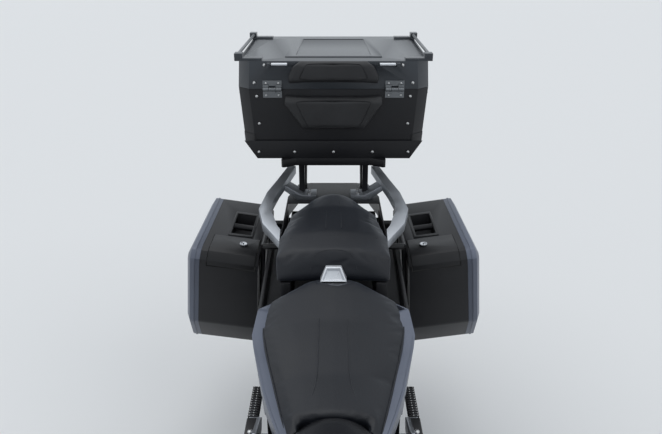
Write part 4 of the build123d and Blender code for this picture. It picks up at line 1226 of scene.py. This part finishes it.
def hinge_rivets(shown):
    """Rivets in the hinge leaves of the top case."""
    fixed, moving = "case_hinges_fixed", "case_hinges_moving"
    heights = {fixed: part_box(fixed)[0].z + LEAF_INSET, moving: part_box(moving)[1].z - LEAF_INSET}
    for node, z in heights.items():
        starts = [(side * x, BEFORE_CASE_Y, z) for side in SIDES for x in LEAF_RIVETS_X]
        places = [surface_point(shown[node], start, BACK) for start in starts]
        piece = spread(node + "_rivets", rivet(LEAF_RIVET_R), places)
        finish_piece(piece, body_of[node], "steel")


# Panniers

ABOVE_PANNIERS_Z = 1.0
# Key lock and handle plate: place of each on the left, seen from above, then its pieces
KEY_LOCK = (0.2764, 0.62)
KEY_RING_R = 0.0112
KEY_RING_HEIGHT = 0.003
KEY_RING_SIDES = 28
KEY_RING_RIM = (0.0022, 0.0)
KEY_RING_WELL = (0.0006, -0.002)
KEY_RING_EDGE = 0.0004
KEY_SLOT_BOX = ((-0.0011, -0.005, 0.0006), (0.0011, 0.005, 0.0022))
KEY_SLOT_EDGE = 0.0003
HANDLE_CORNER = (0.295, 0.69)
HANDLE_PLATE_BOX = ((-0.04, -0.004, -0.001), (0.04, 0.186, 0.0022))
HANDLE_HOLE_BOX = ((-0.031, 0.0105, -0.01), (0.033, 0.1695, 0.01))
HANDLE_PLATE_EDGE = 0.001


def key_lock(side, word, lock):
    """Key lock and its ring on a pannier's lock flap."""
    x, y = KEY_LOCK
    seat = standing(*surface_point(lock, (side * x, y, ABOVE_PANNIERS_Z), DOWN))
    ring = add_round(f"pannier_key_ring_{word}", KEY_RING_R, KEY_RING_HEIGHT, KEY_RING_SIDES)
    set_in(ring, facing_up, KEY_RING_RIM, KEY_RING_WELL)
    softened(ring, KEY_RING_EDGE)
    key = add_box(f"pannier_key_slot_{word}", *KEY_SLOT_BOX)
    softened(key, KEY_SLOT_EDGE)
    for piece, slot in ((ring, "bright"), (key, "trim_black")):
        piece.data.transform(seat)
        finish_piece(piece, "chassis", slot)


def handle_plate(side, word, shell):
    """The frame round a pannier's handle."""
    x, y = HANDLE_CORNER
    seat = standing(*surface_point(shell, (side * x, y, ABOVE_PANNIERS_Z), DOWN))
    plate = add_box(f"pannier_handle_plate_{word}", *HANDLE_PLATE_BOX)
    cut(plate, add_box("hole", *HANDLE_HOLE_BOX))
    if side < 0:
        flipped(plate)
    softened(plate, HANDLE_PLATE_EDGE)
    plate.data.transform(seat)
    finish_piece(plate, "chassis", "trim_black")


def pannier_fittings(shown):
    """Key lock and handle frame on each pannier."""
    for side, word in ((1, "left"), (-1, "right")):
        key_lock(side, word, shown["pannier_lock_" + word])
        handle_plate(side, word, shown["pannier_shell_" + word])


# Passenger's footrests

PEG_FRONT_Y = 0.206
PEG_REAR_Y = 0.330
PEG_TEETH = 13
TOOTH_HALF = 0.0028
TOOTH_BOTTOM_Z = 0.4865
TOOTH_TOP_Z = 0.5138
TOOTH_INNER = 0.003
TOOTH_OUTER = 0.004
TOOTH_EDGE = 0.001
STUD_Z = 0.5136
STUD_ROWS = 0.011
STUD_R = 0.0019
CLEVIS_BOX = ((0.196, 0.126, 0.487), (0.228, 0.204, 0.514))
CLEVIS_EDGE = 0.004
PIN_PLACE = (0.212, 0.148, 0.514)
PIN_R = 0.0075


def footrest_pads():
    """Toothed rubbers with two rows of bright studs on the passenger's rests."""
    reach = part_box("passenger_footrests")[1].x - FOOTREST_INNER
    inner = FOOTREST_INNER - TOOTH_INNER
    outer = FOOTREST_INNER + reach * FOOTREST_SQUEEZE
    teeth, studs = [], []
    for index in range(PEG_TEETH):
        y = PEG_FRONT_Y + (PEG_REAR_Y - PEG_FRONT_Y) * (index + HALF_STEP) / PEG_TEETH
        low = (inner, y - TOOTH_HALF, TOOTH_BOTTOM_Z)
        high = (outer + TOOTH_OUTER, y + TOOTH_HALF, TOOTH_TOP_Z)
        teeth.append(softened(add_box("tooth", low, high), TOOTH_EDGE))
        studs += [(Vector((x, y, STUD_Z)), UP) for x in (outer, outer - STUD_ROWS)]
    finish_pair(joined("footrest_rubber_left", teeth), "rubber")
    clevis = softened(add_box("footrest_clevis_left", *CLEVIS_BOX), CLEVIS_EDGE, 3)
    pin = spread("footrest_pin_left", rivet(PIN_R), [(Vector(PIN_PLACE), UP)])
    finish_pair(clevis, "frame_black")
    finish_pair(pin, "steel")
    finish_pair(spread("footrest_studs_left", rivet(STUD_R), studs), "steel")


# Screws

# Radius of the screws, starts of the lines that look for their places, and the lines' way
HOLDING_SCREWS = {
    "passenger_footrests": (0.007, (0.5, 0.125, 0.505), (0.5, 0.17, 0.49), RIGHT),
    "rider_footrests": (0.006, (0.5, 0.085, 0.455), (0.5, 0.05, 0.425), RIGHT),
    "grab_rails": (0.006, (0.0785, 0.785, 1.2), (0.0785, 0.815, 1.2), DOWN),
    "case_rack": (0.006, (0.14, 0.83, 1.3), (0.13, 1.08, 1.3), DOWN),
}

# Screws of the fairing (y, z), windscreen (x, z), discs and engine covers
FAIRING_SCREW_R = 0.0055
FAIRING_SCREWS = ((-0.8, 0.82), (-0.6, 0.83), (-0.4, 0.72), (-0.3, 0.55), (-0.4, 0.38), (-0.63, 0.62))
BESIDE_FAIRING_X = 0.6
SMALL_SCREW_R = 0.005
WINDSCREEN_SCREWS = ((0.05, 0.955), (0.11, 0.965), (0.15, 0.985))
BEFORE_WINDSCREEN_Y = -1.5
DISC_SCREWS = 6
DISC_SCREW_RING = 0.041
COVER_SCREWS = 8
BESIDE_ENGINE_X = 0.4

# Side, y, z and radius of the ring of screws on each engine cover
ENGINE_COVERS = ((1, -0.25, 0.415, 0.068), (-1, -0.15, 0.425, 0.078))


def holding_screws(shown):
    """Screws that hold the footrest plates, grab rails and case rack."""
    for node, (radius, *starts, way) in HOLDING_SCREWS.items():
        places = []
        for x, y, z in starts:
            for side in SIDES:
                toward = Vector((side * way.x, way.y, way.z))
                places.append(surface_point(shown[node], (side * x, y, z), toward))
        piece = spread(node + "_screws", socket_screw(radius), places)
        finish_piece(piece, body_of[node], "steel")


def fairing_screws(shown):
    """Black screws in the fairing's sides."""
    places = []
    for y, z in FAIRING_SCREWS:
        for side, way in ((1, RIGHT), (-1, LEFT)):
            start = (side * BESIDE_FAIRING_X, y, z)
            places.append(surface_point(shown["side_fairings"], start, way))
    piece = spread("fairing_screws", socket_screw(FAIRING_SCREW_R), places)
    finish_piece(piece, "chassis", "trim_black")


def windscreen_screws(shown):
    """Black screws along the foot of the windscreen."""
    places = []
    for x, z in WINDSCREEN_SCREWS:
        for side in SIDES:
            start = (side * x, BEFORE_WINDSCREEN_Y, z)
            places.append(surface_point(shown["windscreen"], start, BACK))
    piece = spread("windscreen_screws", socket_screw(SMALL_SCREW_R), places)
    finish_piece(piece, "chassis", "trim_black")


def disc_screws():
    """A ring of screws in the middle of each brake disc, on the sides in view."""
    for node, sides in (("front_discs", SIDES), ("rear_disc", (-1,))):
        low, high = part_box(node)
        middle = (low + high) / 2
        places = []
        for offset in around(DISC_SCREW_RING, DISC_SCREWS, HALF_STEP):
            for side in sides:
                face = Vector((low.x if side < 0 else high.x, middle.y, middle.z))
                places.append((face + offset, LEFT * side))
        piece = spread(node + "_screws", socket_screw(SMALL_SCREW_R), places)
        finish_piece(piece, body_of[node], "steel")


def engine_cover_screws(shown):
    """A ring of screws round each engine cover."""
    places = []
    for side, y, z, radius in ENGINE_COVERS:
        middle = Vector((side * BESIDE_ENGINE_X, y, z))
        for offset in around(radius, COVER_SCREWS, HALF_STEP):
            places.append(surface_point(shown["engine"], middle + offset, RIGHT * side))
    piece = spread("engine_cover_screws", socket_screw(SMALL_SCREW_R), places)
    finish_piece(piece, "chassis", "steel")


# Front end

# Headlamp
BEFORE_HEADLAMP_Y = -1.4
HEADLAMP_X = 0.08
HEADLAMP_Z = 0.8
BOWL_R = 0.042
BOWL_SEGMENTS = 32
BOWL_RINGS = 16
BOWL_MOUTH = 0.008
BOWL_WALL = 0.002
BOWL_ANGLE = 60
BOWL_DEPTH = 0.05
BULB_R = 0.014
BULB_LENGTH = 0.03
BULB_SIDES = 20
BULB_EDGE = 0.006
BULB_DEPTH = 0.034
SHADE_BOX = ((-0.165, -0.93, 0.765), (0.165, -0.925, 0.85))
SHADE_EDGE = 0.002

# Dials
DIAL_X = 0.068
DIAL_Y = -0.755
ABOVE_DASH_Z = 1.3
DIAL_R = 0.036
DIAL_HEIGHT = 0.008
DIAL_SIDES = 48
DIAL_RIM = (0.003, 0.0)
DIAL_WELL = (0.001, -0.005)
DIAL_EDGE = 0.0006
TICKS = 11
TICK_FIRST = 130
TICK_STEP = 26
TICK_BOX = ((-0.0006, DIAL_R * 0.68, 0.0028), (0.0006, DIAL_R * 0.84, 0.0036))
HAND_TURN = 118
HAND_BOX = ((-0.0009, -0.004, 0.0036), (0.0009, DIAL_R * 0.7, 0.0044))

# Mirror glass
MIRROR_BOX = ((0.316, -0.7318, 1.022), (0.446, -0.7268, 1.09))
MIRROR_STEP = (0.003, 0.0006)
MIRROR_EDGE = 0.014
MIRROR_ANGLE = 30

# Brake hoses
HOSE_R = 0.0042
HOSE_ROUTE = (
    (0.012, -0.7, 0.775),
    (0.05, -0.765, 0.73),
    (0.09, -0.8, 0.66),
    (0.095, -0.84, 0.56),
    (0.095, -0.862, 0.47),
    (0.088, -0.85, 0.4),
)


def reflector_bowl():
    """A round bowl, open at the top, with its bulb."""
    clear_selection()
    bpy.ops.mesh.primitive_uv_sphere_add(
        segments=BOWL_SEGMENTS, ring_count=BOWL_RINGS, radius=BOWL_R
    )
    bowl = bpy.context.active_object
    pick_faces(bowl, lambda centre, normal: centre.z > BOWL_MOUTH)
    bpy.ops.mesh.delete(type="FACE")
    bpy.ops.object.mode_set(mode="OBJECT")
    modified(bowl, "SOLIDIFY", thickness=BOWL_WALL)
    smooth(bowl, BOWL_ANGLE)
    bulb = add_round("bulb", BULB_R, BULB_LENGTH, BULB_SIDES)
    softened(bulb, BULB_EDGE, 3)
    bulb.data.transform(Matrix.Translation((0, 0, -BULB_DEPTH)))
    return joined("reflector", [bowl, bulb])


def headlamp_fittings(shown):
    """Reflector bowls behind the headlamp's glass, and the dark shade behind them."""
    bowls = []
    for side in SIDES:
        start = (side * HEADLAMP_X, BEFORE_HEADLAMP_Y, HEADLAMP_Z)
        place, _ = surface_point(shown["headlamp"], start, BACK)
        bowl = reflector_bowl()
        bowl.data.transform(standing(place + BACK * BOWL_DEPTH, AHEAD))
        bowls.append(bowl)
    finish_piece(joined("headlamp_reflectors", bowls), "chassis", "bright")
    shade = softened(add_box("headlamp_shade", *SHADE_BOX), SHADE_EDGE)
    finish_piece(shade, "chassis", "trim_black")


def dial_marks():
    """A dial's ticks and hand, as one piece."""
    marks = []
    for index in range(TICKS):
        tick = add_box("tick", *TICK_BOX)
        turn = math.radians(TICK_FIRST - TICK_STEP * index)
        tick.data.transform(Matrix.Rotation(turn, 4, "Z"))
        marks.append(tick)
    hand = add_box("hand", *HAND_BOX)
    hand.data.transform(Matrix.Rotation(math.radians(HAND_TURN), 4, "Z"))
    return joined("dial_marks", [*marks, hand])


def instruments(shown):
    """Two round dials on the dash, with plain ticks and a hand."""
    bezels, marks = [], []
    for side in SIDES:
        start = (side * DIAL_X, DIAL_Y, ABOVE_DASH_Z)
        seat = standing(*surface_point(shown["dash"], start, DOWN))
        bezel = add_round("bezel", DIAL_R, DIAL_HEIGHT, DIAL_SIDES)
        set_in(bezel, facing_up, DIAL_RIM, DIAL_WELL)
        softened(bezel, DIAL_EDGE)
        bezels.append(bezel)
        marks.append(dial_marks())
        for piece in (bezels[-1], marks[-1]):
            piece.data.transform(seat)
    finish_piece(joined("dial_bezels", bezels), "chassis", "trim_black")
    finish_piece(joined("dial_marks", marks), "chassis", "bright")


def mirror_glass():
    """Silvered glass in the rear face of each mirror."""
    glass = add_box("mirror_glass_left", *MIRROR_BOX)
    set_in(glass, lambda centre, normal: normal.y > FACING, MIRROR_STEP)
    bevelled(glass, MIRROR_EDGE, 5)
    smooth(glass, MIRROR_ANGLE)
    finish_pair(glass, "bright", MIRROR_SILVER)


def brake_hoses():
    """Hoses from under the lower yoke down to the calipers."""
    routes = [[(side * x, y, z) for x, y, z in HOSE_ROUTE] for side in SIDES]
    hoses = [tube("hose", route, HOSE_R) for route in routes]
    finish_piece(joined("brake_hoses", hoses), "steering", "rubber")


# Rear plate

BEHIND_PLATE = (0, 1.4, 0.69)
PLATE_BOX = ((-0.09, -0.055, 0.0005), (0.09, 0.055, 0.0025))
PLATE_EDGE = 0.0008
PLATE_SCREW_R = 0.004
PLATE_SCREW_PLACES = ((-0.07, 0.04, 0.0025), (0.07, 0.04, 0.0025))


def rear_plate(shown):
    """A blank plate on the rear fender, with its screws."""
    place, normal = surface_point(shown["rear_fender"], BEHIND_PLATE, AHEAD)
    seat = standing(place, normal)
    plate = softened(add_box("blank_plate", *PLATE_BOX), PLATE_EDGE)
    plate.data.transform(seat)
    finish_piece(plate, "chassis", "cast_alloy")
    places = [(seat @ Vector(corner), normal) for corner in PLATE_SCREW_PLACES]
    piece = spread("plate_screws", socket_screw(PLATE_SCREW_R), places)
    finish_piece(piece, "chassis", "steel")


pale_floor()
studio_sky()
soft_suns()
photo_camera()
dress_nodes()
# Painted shadow round the pannier lock flaps
painted_lock_gap_shadows()
shown = {**nodes, **eased_nodes()}
trimmed_covers()
shown["passenger_footrests"] = narrowed_footrests()
seat_tray()
scooped_catch()
smoothed_tank()
covers = upholstery()
seat_seams(covers)
pad_panels(covers)
for tyre_node in ("front_tyre", "rear_tyre"):
    grooved_tyre(tyre_node)
for disc_node in ("front_discs", "rear_disc"):
    drilled_disc(disc_node)
shown["tub_front"] = tub_front()
tub_rivets(shown)
lid_rivets(shown)
tie_down_bars(shown)
corner_caps(shown)
hinge_rivets(shown)
pannier_fittings(shown)
footrest_pads()
holding_screws(shown)
fairing_screws(shown)
windscreen_screws(shown)
disc_screws()
engine_cover_screws(shown)
headlamp_fittings(shown)
instruments(shown)
mirror_glass()
rear_plate(shown)
brake_hoses()
